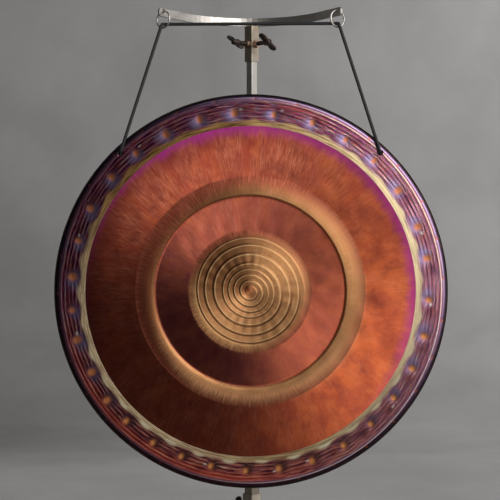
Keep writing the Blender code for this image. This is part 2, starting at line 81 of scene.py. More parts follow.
# Radius of the boss's spiral terrace after each whole turn inwards
SPIRAL = (0.0945, 0.0815, 0.0655, 0.0485, 0.0385, 0.0290, 0.0180, 0.0085)
SPIRAL_SHIFT = 0.0010
SPIRAL_LEAN = 0.0013
STEP_HEIGHT = 0.0022

# Hammer marks: a row round the face, not quite evenly spaced, in degrees
DENT_COUNT = 32
FIRST_DENT = 9.65
DENT_DRIFT = 4.7             # the spacing wanders by this, once round
DRIFT_START = -26
DENT_JITTER = 0.9
DENT_ROW = 0.3175
DENT_DEPTH = 0.0010

# What lies beside each mark, in degrees from its middle, and how many marks have a glint
HALO_TURN = 0.7
GLINT_TURN = 1.9
WAKE_TURN = 3.4
GLINT_CHANCE = 0.42

# Outer band: its gold ring and its turned lines
GOLD_INNER = 0.2905
GOLD_OUTER = 0.3075
BAND_START = 0.303
BAND_PITCH = 0.0066

# Each kind of mark: the distance of its row from the centre, and a mark's reach along the row
# and across it
MARKS = {"dent": (DENT_ROW, 0.0092, 0.0110), "edge_spot": (0.3420, 0.0040, 0.0032),
         "between": (GOLD_OUTER, 0.0130, 0.0200), "halo": (DENT_ROW - 0.004, 0.0165, 0.0110),
         "glint": (DENT_ROW, 0.0024, 0.0016), "wake": (DENT_ROW + 0.004, 0.0150, 0.0095)}
MASKS = ("groove", "lip", *MARKS)

# Relief of the fine marks
SPOT_DEPTH = 0.0004
LINE_RELIEF = 0.00022
SWELL_RELIEF = 0.00016
RIM_MARK = 0.0006
BACK_MARK = 0.0005

# Mesh of the gong: spans of the front with the spacing of their rings, and spans of the back,
# inwards, with their number of rings
PLAIN_SIDES = 240
BAND_SIDES = 720
SHARP = radians(40)          # edges that turn by more than this stay sharp or get a bevel
FRONT_SPANS = ((0.0015, BOSS_RADIUS, 0.0008), (BOSS_RADIUS, CREASE, 0.0040),
               (CREASE, CREST, 0.0006), (CREST, RIDGE_FOOT, 0.0020),
               (RIDGE_FOOT, BAND_START, 0.0035), (BAND_START, SHOULDER, 0.0012))
BACK_SPANS = ((0.334, RIDGE_FOOT, 20), (0.204, CREASE, 12), (0.168, BOSS_RADIUS, 10),
              (0.100, 0.006, 14))

# The gong's finishes, as the mesh numbers them
BRUSHED, TURNED, BAND, EDGE, RAW = range(5)
TURNED_END = 0.203
EDGE_BEFORE = 6              # the dark edge runs from this many rings before the front's end
EDGE_AFTER = 3               # to this many after it

# Colours that two of the bronzes share, as screen values, with SHADOW as the colour of painted
# shade, and the streaks of brushed hairs
COPPER = ((170, 84, 62), (214, 124, 96))
SHADOW = (58, 24, 18)
HAIRS = (115, 52, 5.0, 0.65)

# Where the gold of the boss and of the ridge fades out, and how far a hair shifts that
BOSS_GOLD_END = (0.096, 0.118)
RIDGE_GOLD_END = (0.183, 0.214)
HAIR_REACH = 0.014

# Painted reflections along the shoulder, as bright lines: half width, and the rows. The inner one
# lies further out below.
REFLECTION_WIDTH = (0.0013, 0.0004)
INNER_LINE = (0.3378, 0.3396)
OUTER_LINE = 0.3424

# Cord, rings and bar, as in the part
SEAT_GAP = 0.0003
CORD_RADIUS = 0.003
CORD_SLACK = 0.0008
CORD_BEND = CORD_RADIUS + 2 * SEAT_GAP + 0.75 * SHEET
CORD_SPACING = 0.0008
KNOT_STRAND = 0.0022
KNOT_POINTS = 150
BRAID_PITCH = 0.0065
BRAID_STRANDS = 8
BRAID_RELIEF = 0.0005
WIRE_RADIUS = 0.00175
WIRE_JOINT = 0.3             # how far round the ring its ends meet, as a share
JOINT_DEPTH = 0.0003
JOINT_WIDTH = 0.00035
WIRE_POINTS = 200
BOW_SWEEP = radians(54)
BAR_BOTTOM_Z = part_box("bow_bar")[0].z

# Wing screws, and the tubes that they clamp, as in the part
POLE_SIDE = 0.015
SLEEVE_SIDE = 0.020
SCREW_RADIUS = 0.004
SCREW_SIDES = 32
SCREW_POINT = 0.0015
SCREW_TIP = 0.7              # the tip's thickness as a share of the shank's
THREAD_PITCH = 0.00125
THREAD_DEPTH = 0.0005
WING_CENTRE = 0.042
WING_SPAN = 0.046
WING_WIDTH = 0.0155
WING_THICKNESS = 0.0048
WING_WAIST = 0.72
LOBE_STEPS = 24
WING_DISH = 0.0007
DISH_EDGE = 0.0026           # inwards from the wing's edge: the dish's brim, foot and floor
DISH_FOOT = 0.0034
DISH_FLOOR = 0.0042
HUB_RADIUS = 0.0062
HUB_LENGTH = 0.015
HUB_OUTLINE = ((0.0, 0.80), (0.03, 0.93), (0.08, 1.0), (0.22, 1.0), (0.27, 0.90),
               (0.75, 0.86), (0.88, 0.80), (0.96, 0.66), (1.0, 0.40))
FRONT_ANGLES = (radians(-135), radians(-45))
REAR_ANGLES = (radians(135), radians(45))

# Weld beads
BAR_WELD_RADIUS = 0.0014
BAR_WELD_REACH = 0.0105
BAR_WELD_Y = 0.0026
LEG_WELD_RADIUS = 0.0013
LEG_WELD_LIFT = 0.0006
LEG_WELD_SPAN = 0.94
WELD_SPACING = 0.0004
RIPPLE_DEPTH = 0.16          # the ripples' height and distance, as shares of the bead's radius
RIPPLE_PITCH = 1.3

# Rounding of the solids' edges
SOFT_EDGES = {"bow_bar": 0.0007, "head_sleeve": 0.0003, "inner_pole": 0.0002,
              "middle_tube": 0.0003, "lower_column": 0.0003, "column_plug": 0.0004}
SOFT_FOOT = 0.0003
SOFT_NUT = 0.0006

# Camera, from the sizes of the gong and the pole in the picture
EYE = Vector((0.07, -2.5065, 0.892))
LENS = 97.2

# Round stage: a floor that curves up into a wall
STAGE_RADIUS = 6.5
STAGE_CURVE = 2.2
STAGE_HEIGHT = 6.0
STAGE_SIDES = 96
STAGE_STEPS = 16
STAGE_GLOW_LOW_LEFT = 0.06
STAGE_GLOW_HIGH_LEFT = 0.26
STAGE_GLOW_RIGHT = 0.33
WORLD_COLOUR = (0.9, 0.93, 1.0, 1)
WORLD_STRENGTH = 0.13


# Materials


def linear(colour):
    """Screen values from 0 to 255 as a shader's colour. A node's output stays as it is."""
    if isinstance(colour, bpy.types.NodeSocket):
        return colour
    shares = [value / 255 for value in colour]
    return tuple(share / 12.92 if share <= 0.04045 else ((share + 0.055) / 1.055) ** 2.4
                 for share in shares) + (1.0,)


class Surface:
    """A material on one Principled shader, with short calls for its nodes."""

    def __init__(self, name, **sockets):
        self.material = bpy.data.materials.new(name)
        self.material.use_nodes = True
        self.tree = self.material.node_tree
        self.shader = self.tree.nodes["Principled BSDF"]
        self.set(**sockets)

    def plug(self, socket, value):
        """Links a socket to a node's output, or gives it a plain value."""
        if isinstance(value, bpy.types.NodeSocket):
            self.tree.links.new(value, socket)
        else:
            socket.default_value = value

    def set(self, **sockets):
        """Fills the shader's sockets, whose names have _ for a space."""
        for name, value in sockets.items():
            self.plug(self.shader.inputs[name.replace("_", " ")], value)

    def node(self, kind, **values):
        """A new node. Names in small letters are its settings, and the others its inputs."""
        node = self.tree.nodes.new("ShaderNode" + kind)
        for name, value in values.items():
            if name.islower():
                setattr(node, name, value)
            else:
                self.plug(node.inputs[name], value)
        return node

    def math(self, operation, first, second=0.0, third=0.0):
        """The result of one Math node."""
        node = self.node("Math", operation=operation)
        for socket, value in zip(node.inputs, (first, second, third)):
            self.plug(socket, value)
        return node.outputs[0]

    def chain(self, operation, first, *others):
        """One Math node after the other, each with the next value."""
        for other in others:
            first = self.math(operation, first, other)
        return first

    times = partialmethod(chain, "MULTIPLY")
    plus = partialmethod(chain, "ADD")
    minus = partialmethod(chain, "SUBTRACT")

    def rest(self, share):
        """What a share leaves of 1."""
        return self.math("SUBTRACT", 1.0, share)

    def ease(self, value, low, high, start=0.0, end=1.0):
        """Goes smoothly from start at low to end at high."""
        node = self.node("MapRange", interpolation_type="SMOOTHSTEP")
        for socket, number in zip(node.inputs, (value, low, high, start, end)):
            self.plug(socket, number)
        return node.outputs[0]

    def mix(self, factor, first, second, blend="MIX"):
        """One colour over another."""
        node = self.node("Mix", data_type="RGBA", blend_type=blend)
        for index, value in ((0, factor), (6, linear(first)), (7, linear(second))):
            self.plug(node.inputs[index], value)
        return node.outputs[2]

    def layers(self, colour, *coats):
        """Coats over a colour, from the lowest, each with how much it covers and its colour."""
        for cover, coat in coats:
            colour = self.mix(cover, colour, coat)
        return colour

    def ramp(self, value, stops):
        """A colour that follows a value through these stops."""
        node = self.node("ValToRGB")
        elements = node.color_ramp.elements
        while len(elements) < len(stops):
            elements.new(0.5)
        for element, (position, colour) in zip(elements, stops):
            element.position = position
            element.color = linear(colour)
        self.plug(node.inputs[0], value)
        return node.outputs[0]

    def noise(self, scale, detail, roughness=0.5, vector=None):
        """Noise over the object, or over another vector."""
        return self.node("TexNoise", Vector=vector or self.object_position(), Scale=scale,
                         Detail=detail, Roughness=roughness).outputs["Fac"]

    def attribute(self, name):
        """One of the mesh's own values."""
        return self.node("Attribute", attribute_name=name).outputs["Fac"]

    def object_position(self):
        return self.node("TexCoord").outputs["Object"]

    def stretched(self, scale):
        """The place on the object, scaled along each axis."""
        return self.node("Mapping", Vector=self.object_position(), Scale=scale).outputs[0]

    def finished(self, colour, roughness, relief, strength, depth):
        """The material with its colour, its roughness and its fine relief."""
        bump = self.node("Bump", Height=relief, Strength=strength, Distance=depth)
        self.set(Base_Color=colour, Roughness=roughness, Normal=bump.outputs[0])
        return self.material


class GongSurface(Surface):
    """A gong material, whose nodes know the distance and direction from the centre."""

    def __init__(self, name, **sockets):
        super().__init__(name, **sockets)
        split = self.node("SeparateXYZ", Vector=self.object_position())
        x, _, z = split.outputs
        square = self.math("MULTIPLY_ADD", x, x, self.times(z, z))
        self.radius = self.math("SQRT", square)
        safe = self.math("MAXIMUM", self.radius, 0.001)
        self.east = self.math("DIVIDE", x, safe)
        self.north = self.math("DIVIDE", z, safe)

    def streaks(self, around, across, detail, roughness):
        """Noise that varies this many times per radian round the gong and per metre outwards."""
        place = self.node("CombineXYZ", X=self.times(self.east, around),
                          Y=self.times(self.radius, across), Z=self.times(self.north, around))
        return self.noise(1.0, detail, roughness, place.outputs[0])

    def towards(self, degrees):
        """From -1 to 1: how far a point lies in this direction, clockwise from the top."""
        angle = radians(degrees)
        return self.math("MULTIPLY_ADD", self.east, sin(angle),
                         self.times(self.north, cos(angle)))

    def side(self, degrees, low, high, start=0.0, end=1.0):
        """Goes smoothly from start to end on the way towards this direction."""
        return self.ease(self.towards(degrees), low, high, start, end)

    def outwards(self, low, high, start=0.0, end=1.0):
        """Goes smoothly from start to end between two distances from the centre."""
        return self.ease(self.radius, low, high, start, end)

    def grain(self, rotation):
        """Sets how the brushing runs, in turns from straight outwards."""
        tangent = self.node("Tangent", direction_type="RADIAL", axis="Y")
        self.set(Anisotropic_Rotation=rotation, Tangent=tangent.outputs[0])


class BandSurface(GongSurface):
    """The outer band's material, with the streaks and places that its colours share."""

    def __init__(self, name, **sockets):
        super().__init__(name, **sockets)
        self.wander = self.streaks(8, 60, 3.0, 0.55)
        self.drift = self.streaks(2.2, 30, 2.0, 0.5)
        self.patch = self.streaks(18, 90, 4.0, 0.6)
        self.hue = self.streaks(12, 330, 2.0, 0.5)
        self.dent = self.attribute("dent")
        self.lower = self.side(185, 0.2, 0.9)


def hair_mix(s, hair, dark, light):
    """Two colours, hair by hair."""
    return s.mix(s.ease(hair, 0.35, 0.65), dark, light)


def gold_cover(s, hair):
    """Where the brushed gold of the boss and of the ridge gives way to copper, hair by hair."""
    ragged = s.plus(s.radius, s.times(s.ease(hair, 0.25, 0.75), HAIR_REACH))
    near = s.minus(ragged, s.side(225, -0.1, 0.9, 0, 0.002))
    boss = s.rest(s.ease(near, *BOSS_GOLD_END))
    ragged = s.plus(ragged, s.side(285, 0.1, 0.9, 0, 0.014))
    ragged = s.minus(ragged, s.side(90, 0.3, 0.95, 0, 0.007))
    ragged = s.plus(ragged, s.side(38, 0.6, 0.97, 0, 0.006))
    ridge = s.times(s.outwards(CREASE - 0.0012, CREASE), s.rest(s.ease(ragged, *RIDGE_GOLD_END)))
    return s.math("MAXIMUM", boss, ridge)


def gold_light_and_shade(s, gold):
    """Painted light and shade on the gold: painted shade on the upper left and on the ridge's upper
    right, painted light on the ridge below and on the boss's lower left, and painted shade on the
    boss's upper side.
    """
    far = s.outwards(0.15, 0.17)
    flank = s.times(s.outwards(0.09, 0.096), s.rest(far))
    painted_light = s.times(s.side(180, 0.2, 0.9), s.outwards(0.176, 0.19, 0.15, 1))
    upper_right_shade = s.times(s.side(60, 0.3, 0.95), far)
    lit = s.times(s.side(225, -0.1, 0.9), flank)
    unlit = s.times(s.side(345, 0.1, 0.9), flank)
    return s.layers(
        gold,
        # Painted shade on the upper left, painted light below, painted shade on the upper right,
        # then painted light and shade on the boss's edge
        (s.side(305, 0.2, 1, 0, 0.75), (116, 72, 44)),
        (painted_light, (255, 192, 138)),
        (s.times(upper_right_shade, 0.4), (150, 102, 66)),
        (s.times(lit, 0.55), (255, 204, 142)),
        (s.times(unlit, 0.6), (104, 66, 42)))


def shadow_side(s):
    """How deep the painted shade is. It deepens towards the lower left."""
    return s.times(s.side(226, -0.05, 0.9), 0.75)


def brushed_bronze():
    """Face and plateau: copper, brushed outwards from the centre, purple at the edge, with painted
    light on the right and painted shade on the upper left and lower left.
    """
    s = GongSurface("gong_brushed_bronze", Metallic=1, Anisotropic=0.6)
    s.grain(0)
    hair = s.streaks(*HAIRS)
    broad = s.streaks(16, 10, 3, 0.55)
    cloud = s.streaks(5, 18, 3, 0.55)
    rust = s.noise(26, 5, 0.65)
    upper_left_shade = s.times(s.outwards(0.235, 0.29), s.side(305, 0.2, 0.9))
    edge = s.minus(s.plus(s.radius, s.times(broad, 0.022)), s.side(45, 0.6, -0.3, 0, 0.01))
    purple = s.times(s.ease(edge, 0.28, 0.304), s.side(15, -0.75, 0.35))
    inner = s.rest(s.outwards(0.16, 0.175))
    violet = s.times(s.side(235, 0.1, 0.9), s.ease(cloud, 0.35, 0.6, 0.05, 0.5))
    copper = s.layers(
        hair_mix(s, hair, *COPPER),
        (s.times(s.ease(broad, 0.38, 0.66), 0.5), (196, 84, 50)),
        # Painted light on the right
        (s.times(s.side(105, -0.1, 0.9), 0.55), (222, 112, 62)),
        (s.times(s.ease(cloud, 0.42, 0.66), 0.45), (164, 66, 58)),
        (s.ease(rust, 0.5, 0.66, 0, 0.5), (150, 70, 60)),
        (s.ease(rust, 0.48, 0.36, 0, 0.3), (236, 130, 76)),
        # Painted shade on the upper left
        (s.times(upper_left_shade, 0.6), (112, 42, 46)),
        (s.times(purple, 0.8), (166, 50, 138)),
        (s.times(inner, 0.4), (190, 108, 92)),
        (s.times(inner, violet), (112, 50, 82)),
        # Painted shade on the lower left
        (shadow_side(s), SHADOW))
    gold = gold_light_and_shade(s, hair_mix(s, hair, (180, 124, 78), (222, 172, 116)))
    return s.finished(s.mix(gold_cover(s, hair), copper, gold),
                      s.ease(hair, 0.2, 0.8, 0.38, 0.52), hair, 0.18, 0.0006)


def turned_bronze():
    """Gold, turned on a lathe, with painted shade in the spiral's grooves and painted highlights on
    its lips, and painted shade on the copper to the upper right and lower left.
    """
    s = GongSurface("gong_turned_bronze", Metallic=1, Anisotropic=0.55)
    s.grain(0.25)
    line = s.streaks(5, 900, 3, 0.6)
    hair = s.streaks(*HAIRS)
    cloud = s.streaks(3, 60, 3, 0.5)
    gold = s.layers(s.mix(s.ease(line, 0.36, 0.66), (180, 124, 80), (206, 156, 106)),
                    (s.times(s.ease(cloud, 0.45, 0.75), 0.4), (198, 124, 80)),
                    (s.times(s.ease(hair, 0.45, 0.7), 0.35), (236, 196, 146)))
    # Copper in painted shade, for the upper right
    shaded_copper = hair_mix(s, hair, (124, 70, 52), (158, 94, 70))
    copper = s.layers(hair_mix(s, hair, *COPPER), (s.side(62, 0.55, 0.95, 0, 0.85), shaded_copper),
                      (shadow_side(s), SHADOW))
    core = s.rest(s.outwards(0.004, 0.016))
    base = s.layers(
        copper,
        (gold_cover(s, hair), gold_light_and_shade(s, gold)),
        # Painted highlights on the spiral's lips, and painted shade in its grooves
        (s.times(s.attribute("lip"), 0.7), (250, 206, 150)),
        (s.times(s.attribute("groove"), 0.85), (84, 46, 28)),
        (s.times(core, 0.5), (170, 86, 52)))
    return s.finished(base, s.ease(line, 0.2, 0.8, 0.5, 0.62), line, 0.3, 0.0005)


def turned_lines(s):
    """Heat colours, with painted fill light below, painted shade in the troughs and painted
    highlights on the crests of lines of even pitch that wander and bend round each mark.
    """
    tint = s.streaks(5, 160, 3, 0.5)
    shifted = s.plus(s.radius, s.times(s.wander, 0.0085))
    shifted = s.minus(shifted, s.times(s.ease(s.dent, 0.02, 0.8), 0.0045))
    phase = s.math("FRACT", s.math("DIVIDE", shifted, BAND_PITCH))
    heat = s.ramp(s.hue, ((0.3, (52, 28, 48)), (0.4, (112, 50, 84)), (0.48, (146, 62, 116)),
                          (0.54, (166, 84, 70)), (0.6, (134, 110, 148)), (0.68, (70, 44, 74))))
    # Painted fill light: warmer, lighter colours on the lower part
    lower_fill_light = s.mix(s.ease(s.hue, 0.42, 0.58), (132, 66, 70), (212, 124, 98))
    # Painted shade in the troughs between the lines
    trough_shade = s.times(s.ease(phase, 0.72, 0.92), s.ease(s.patch, 0.3, 0.55, 0.2, 0.9))
    broken = s.times(s.lower, s.ease(s.drift, 0.6, 0.42, 0, 0.7))
    # Painted highlights on the lines' crests, fainter on the upper left and broken below
    crest = s.times(s.ease(phase, 0.3, 0.48), s.ease(phase, 0.62, 0.5),
                    s.ease(tint, 0.36, 0.6, 0.15, 1), s.side(310, 0.2, 1, 1, 0.45),
                    s.rest(broken))
    painted_light = s.mix(s.ease(s.hue, 0.4, 0.6), (232, 188, 160), (240, 220, 188))
    return s.layers(heat, (s.times(s.lower, 0.7), lower_fill_light), (trough_shade, (40, 20, 36)), (crest, painted_light))


def heat_patches(s, base):
    """Rust and red towards the edge, a rose painted light on the right, and lilac outside."""
    rust = s.times(s.outwards(0.318, 0.334), s.ease(s.drift, 0.5, 0.68, 0, 0.6))
    red = s.times(s.outwards(0.318, 0.328), s.side(212, 0.5, 0.95, 0, 0.5))
    lilac = s.ease(s.plus(s.radius, s.times(s.wander, 0.006)), 0.337, 0.341)
    return s.layers(base, (rust, (172, 76, 62)), (red, (214, 88, 64)),
                    # Painted light, rose, on the right
                    (s.times(s.side(95, 0.2, 0.95), 0.2), (226, 170, 190)),
                    (s.times(lilac, 0.6), (134, 104, 134)))


def reflection_line(s, row):
    """A fine painted reflection round the gong at this distance from the centre."""
    return s.ease(s.math("ABSOLUTE", s.minus(s.radius, row)), *REFLECTION_WIDTH)


def shoulder_lines(s, base):
    """The shoulder in dark painted shade, and two bright lines of painted reflection along it."""
    unlit = s.side(60, 0.75, 0.1)
    sunk = s.side(160, 0.1, 0.8)
    outward = s.plus(s.radius, s.times(unlit, 0.0022), s.times(sunk, 0.0006))
    inner = s.times(reflection_line(s, s.side(185, 0.2, 0.9, *INNER_LINE)),
                    s.side(105, -0.35, 0.7, 0.08, 0.85))
    outer = s.times(reflection_line(s, OUTER_LINE), s.side(70, -0.4, 0.7, 0.08, 0.75), s.rest(sunk))
    return s.layers(
        base,
        # Painted shade on the rounded shoulder, darkest away from the upper right
        (s.ease(outward, 0.3405, 0.3438, 0, 0.9),
         s.mix(unlit, (74, 58, 80), (34, 22, 30))),
        # Painted reflections of the turned edge, as two bright lines
        (inner, s.mix(sunk, (232, 196, 164), (236, 216, 226))),
        (outer, (178, 158, 196)))


def smears(s, base):
    """A halo before each hammer mark and a wake behind it, and painted shade over all of it on the
    left.
    """
    halo = s.times(s.ease(s.attribute("halo"), 0.1, 0.8), s.ease(s.patch, 0.25, 0.6, 0.55, 1))
    wake = s.times(s.attribute("wake"), s.ease(s.patch, 0.25, 0.6, 0.5, 1))
    wake_colour = s.mix(s.ease(s.hue, 0.44, 0.58), (58, 24, 44), (150, 72, 50))
    base = s.layers(base, (s.times(halo, 0.85), s.mix(s.lower, (150, 136, 176), (84, 58, 56))),
                    (s.times(wake, 0.7), wake_colour))
    # Painted shade on the left
    left_shade = s.mix(0.86, base, (60, 36, 52), "MULTIPLY")
    return s.mix(s.side(262, 0, 0.95, 0, 0.62), base, left_shade)


def gold_ring(s, base):
    """Streaked gold inside the band, finely turned, and brightest between the marks, with painted
    light on the right and lower left and painted shade on the upper left.
    """
    between = s.attribute("between")
    scallop = s.minus(s.radius, s.times(s.wander, 0.008), s.times(between, 0.0045))
    gold = s.rest(s.ease(scallop, GOLD_OUTER - 0.014, GOLD_OUTER - 0.007))
    streak = s.ease(s.streaks(6, 360, 4, 0.65), 0.38, 0.58)
    # Painted light on the right and lower left, painted shade on the upper left
    gold_with_painted_light = s.layers(
        s.mix(streak, (140, 104, 62), (232, 204, 152)),
        (s.times(s.side(95, 0.1, 0.9), 0.55), (244, 226, 186)),
        (s.side(240, 0.3, 0.9, 0, 0.85), (255, 232, 190)),
        (s.side(325, 0.5, 1, 0, 0.8), s.mix(streak, (112, 78, 40), (206, 150, 84))))
    turned = s.times(s.ease(s.streaks(10, 800, 3, 0.6), 0.54, 0.44),
                     s.outwards(0.29, 0.296), s.side(225, 0.1, 0.8, 0, 0.75), gold)
    lens = s.times(s.ease(between, 0.1, 0.7), gold, s.outwards(0.2975, 0.302),
                   s.side(175, 0, 0.7, 0, 0.95))
    return s.layers(base, (gold, gold_with_painted_light), (turned, (158, 114, 82)),
                    (lens, s.mix(streak, (224, 200, 158), (255, 246, 214))))


def mark_spots(s, base):
    """Copper in the hammer marks, with painted light in the middle of the lower ones, copper in the
    spots by the edge, and a glint beside some.
    """
    # Painted light in the middle of the lower hammer marks
    core = s.times(s.ease(s.dent, 0.72, 1), s.side(165, 0, 0.8, 0, 0.7))
    spot = s.times(s.ease(s.attribute("edge_spot"), 0.45, 0.85), s.side(70, -0.3, 0.6, 0.2, 0.85))
    return s.layers(base, (s.ease(s.dent, 0.4, 1, 0, 0.95), (198, 122, 78)),
                    (core, (255, 178, 104)), (spot, (172, 92, 62)),
                    (s.attribute("glint"), (255, 244, 240)))


def band_bronze():
    """Outer band: heat colours in turned lines, gold inside, a halo round each hammer mark."""
    s = BandSurface("gong_band_bronze", Metallic=1, Anisotropic=0.4)
    s.grain(0.25)
    base = turned_lines(s)
    for add_to in (heat_patches, shoulder_lines, smears, gold_ring, mark_spots):
        base = add_to(s, base)
    fine = s.streaks(9, 1100, 2, 0.6)
    return s.finished(base, s.ease(fine, 0.2, 0.8, 0.32, 0.46), fine, 0.3, 0.0004)


def forged_bronze(name, dark, light, worn):
    """Unpolished bronze with a forged skin."""
    s = Surface(name, Metallic=1)
    coarse = s.noise(22, 5, 0.6)
    fine = s.noise(240, 4, 0.6)
    skin = s.layers(dark, (s.ease(coarse, 0.35, 0.65), light),
                    (s.ease(fine, 0.5, 0.75, 0, 0.5), worn))
    relief = s.plus(coarse, s.times(fine, 0.2))
    return s.finished(skin, s.ease(fine, 0.3, 0.7, 0.4, 0.6), relief, 0.5, 0.002)


def painted_shade_edge_bronze():
    """The rounded edge between the front and the rim, in nearly black painted shade."""
    return forged_bronze("gong_edge_bronze", (36, 28, 30), (62, 48, 48), (90, 68, 58))


def raw_bronze():
    """Rim and back."""
    return forged_bronze("gong_raw_bronze", (96, 68, 54), (158, 114, 84), (190, 142, 104))


def polished_steel():
    """Bar, rings and pole: bright, a little smeared, with fine scratches."""
    s = Surface("stand_polished_steel", Metallic=1)
    smear = s.noise(60, 4, 0.6)
    scratch = s.noise(1, 2, vector=s.stretched((40, 40, 900)))
    base = s.mix(s.ease(smear, 0.4, 0.7), (184, 180, 175), (172, 167, 161))
    return s.finished(base, s.ease(smear, 0.3, 0.7, 0.32, 0.4), scratch, 0.06, 0.0004)


def plated_steel():
    """Sleeve, tubes and legs: a warmer grey, drawn lengthwise."""
    s = Surface("stand_plated_steel", Metallic=1)
    cloud = s.noise(35, 4, 0.6)
    grain = s.noise(1, 3, vector=s.stretched((1400, 1400, 60)))
    base = s.layers((166, 156, 142), (s.ease(cloud, 0.38, 0.66), (152, 141, 127)),
                    (s.ease(grain, 0.5, 0.8, 0, 0.2), (124, 110, 96)))
    return s.finished(base, s.ease(cloud, 0.3, 0.7, 0.24, 0.4), grain, 0.12, 0.0004)


def zinc():
    """Nuts: mottled plating."""
    s = Surface("nut_zinc", Metallic=1)
    mottle = s.noise(420, 3, 0.6)
    base = s.mix(s.ease(mottle, 0.4, 0.65), (198, 176, 156), (150, 112, 92))
    return s.finished(base, s.ease(mottle, 0.3, 0.7, 0.22, 0.45), mottle, 0.25, 0.0004)


def cast_metal():
    """Wing screws: dark, pitted, and lighter where it is worn."""
    s = Surface("wing_dark_cast", Metallic=0.85)
    pits = s.noise(900, 4, 0.65)
    wear = s.noise(130, 3, 0.6)
    base = s.mix(s.ease(wear, 0.45, 0.72), (62, 54, 50), (112, 98, 90))
    return s.finished(base, s.ease(pits, 0.3, 0.7, 0.38, 0.62), pits, 0.45, 0.0005)


def black_cord():
    """Cord and knots: black fibre."""
    s = Surface("cord_black_braid", Sheen_Weight=0.02)
    fibre = s.noise(1500, 3, 0.6)
    base = s.mix(s.ease(fibre, 0.35, 0.7), (8, 9, 10), (26, 28, 31))
    return s.finished(base, 0.62, fibre, 0.4, 0.0004)


def black_plastic():
    """Plugs and caps in the tubes' ends."""
    s = Surface("cap_black_plastic")
    grain = s.noise(1300, 2, 0.5)
    base = s.mix(s.ease(grain, 0.4, 0.7), (26, 26, 27), (42, 42, 44))
    return s.finished(base, 0.48, grain, 0.25, 0.0003)


def black_rubber():
    """Feet, a little dusty."""
    s = Surface("foot_black_rubber")
    grain = s.noise(800, 3, 0.6)
    dust = s.noise(70, 4, 0.6)
    base = s.mix(s.ease(dust, 0.45, 0.75, 0, 0.5), (22, 22, 22), (70, 68, 64))
    return s.finished(base, 0.8, grain, 0.3, 0.0004)


# Shapes


def placed(name, data):
    """A new object in the scene."""
    obj = bpy.data.objects.new(name, data)
    bpy.context.scene.collection.objects.link(obj)
    return obj


def dress(obj, body, slot, *nodes):
    """Hangs a piece on its body, in place of the plain solids that it stands for. The slot is not
    used.
    """
    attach(obj, body)
    if nodes:
        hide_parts(*nodes)


def mesh_object(name, bm, material=None):
    """An object of this mesh in one material, smooth but for its sharp edges."""
    bmesh.ops.recalc_face_normals(bm, faces=bm.faces)
    mesh = bpy.data.meshes.new(name)
    bm.to_mesh(mesh)
    bm.free()
    if material:
        mesh.materials.append(material)
    mesh.shade_smooth()
    mesh.set_sharp_from_angle(angle=radians(35))
    return placed(name, mesh)


def circle(count):
    """Angles evenly round a full turn."""
    return [2 * pi * k / count for k in range(count)]


def skin(bm, loops, closed=False):
    """Faces from loop to loop of points, and over both ends or on to the first loop again."""
    pairs = list(zip(loops, loops[1:]))
    if closed:
        pairs.append((loops[-1], loops[0]))
    else:
        bm.faces.new(loops[0][::-1])
        bm.faces.new(loops[-1])
    for low, high in pairs:
        for i in range(len(low)):
            j = (i + 1) % len(low)
            bm.faces.new((low[i], low[j], high[j], high[i]))


def combined(obj, other, operation):
    """The mesh of one object with another joined to it or cut out of it. The other one goes."""
    modifier = obj.modifiers.new("combine", "BOOLEAN")
    modifier.operation = operation
    modifier.object = other
    bpy.context.view_layer.update()
    mesh = bpy.data.meshes.new_from_object(obj.evaluated_get(bpy.context.evaluated_depsgraph_get()))
    obj.modifiers.clear()
    bpy.data.objects.remove(other, do_unlink=True)
    return mesh


def blend_noise(angle, radius, rng, waves, around, across):
    """A smooth seeded height over the face, from waves that close up round the gong."""
    total = np.zeros_like(angle)
    for _ in range(waves):
        turns = rng.integers(around[0], around[1] + 1)
        along = rng.uniform(across[0], across[1]) * rng.choice((-1, 1))
        total += np.sin(turns * angle + along * radius + rng.uniform(0, 2 * pi))
    return total / sqrt(waves)


def smooth_step(value, low, high):
    """Goes smoothly from 0 at low to 1 at high."""
    share = np.clip((value - low) / (high - low), 0, 1)
    return share * share * (3 - 2 * share)


def profile_height(radius, clockwise=0.0):
    """Height of the front in front of the face, without the boss's terrace."""
    crest = CREST - CREST_DRIFT * (0.5 + 0.5 * np.cos(clockwise - CREST_DRIFT_TO))
    share = np.clip(radius / BOSS_RADIUS, 0, 1)
    boss = PLATEAU_HEIGHT + (BOSS_HEIGHT - PLATEAU_HEIGHT) * (1 - share ** 2) ** BOSS_DOME
    inner = np.clip((radius - CREASE) / (crest - CREASE), 0, 1)
    rise = PLATEAU_HEIGHT + (RIDGE_HEIGHT - PLATEAU_HEIGHT) * np.sin(pi / 2 * inner ** RIDGE_RISE)
    outer = np.clip((radius - crest) / (RIDGE_FOOT - crest), 0, 1)
    fall = RIDGE_HEIGHT * 0.5 * (1 + np.cos(pi * outer))
    over = np.clip((radius - SHOULDER) / SHOULDER_RADIUS, 0, 1)
    round_edge = -SHOULDER_RADIUS * (1 - np.sqrt(np.maximum(1 - over ** 2, 0)))
    height = np.where(radius < crest, rise, fall)
    return np.where(radius < BOSS_RADIUS, boss, height) + round_edge


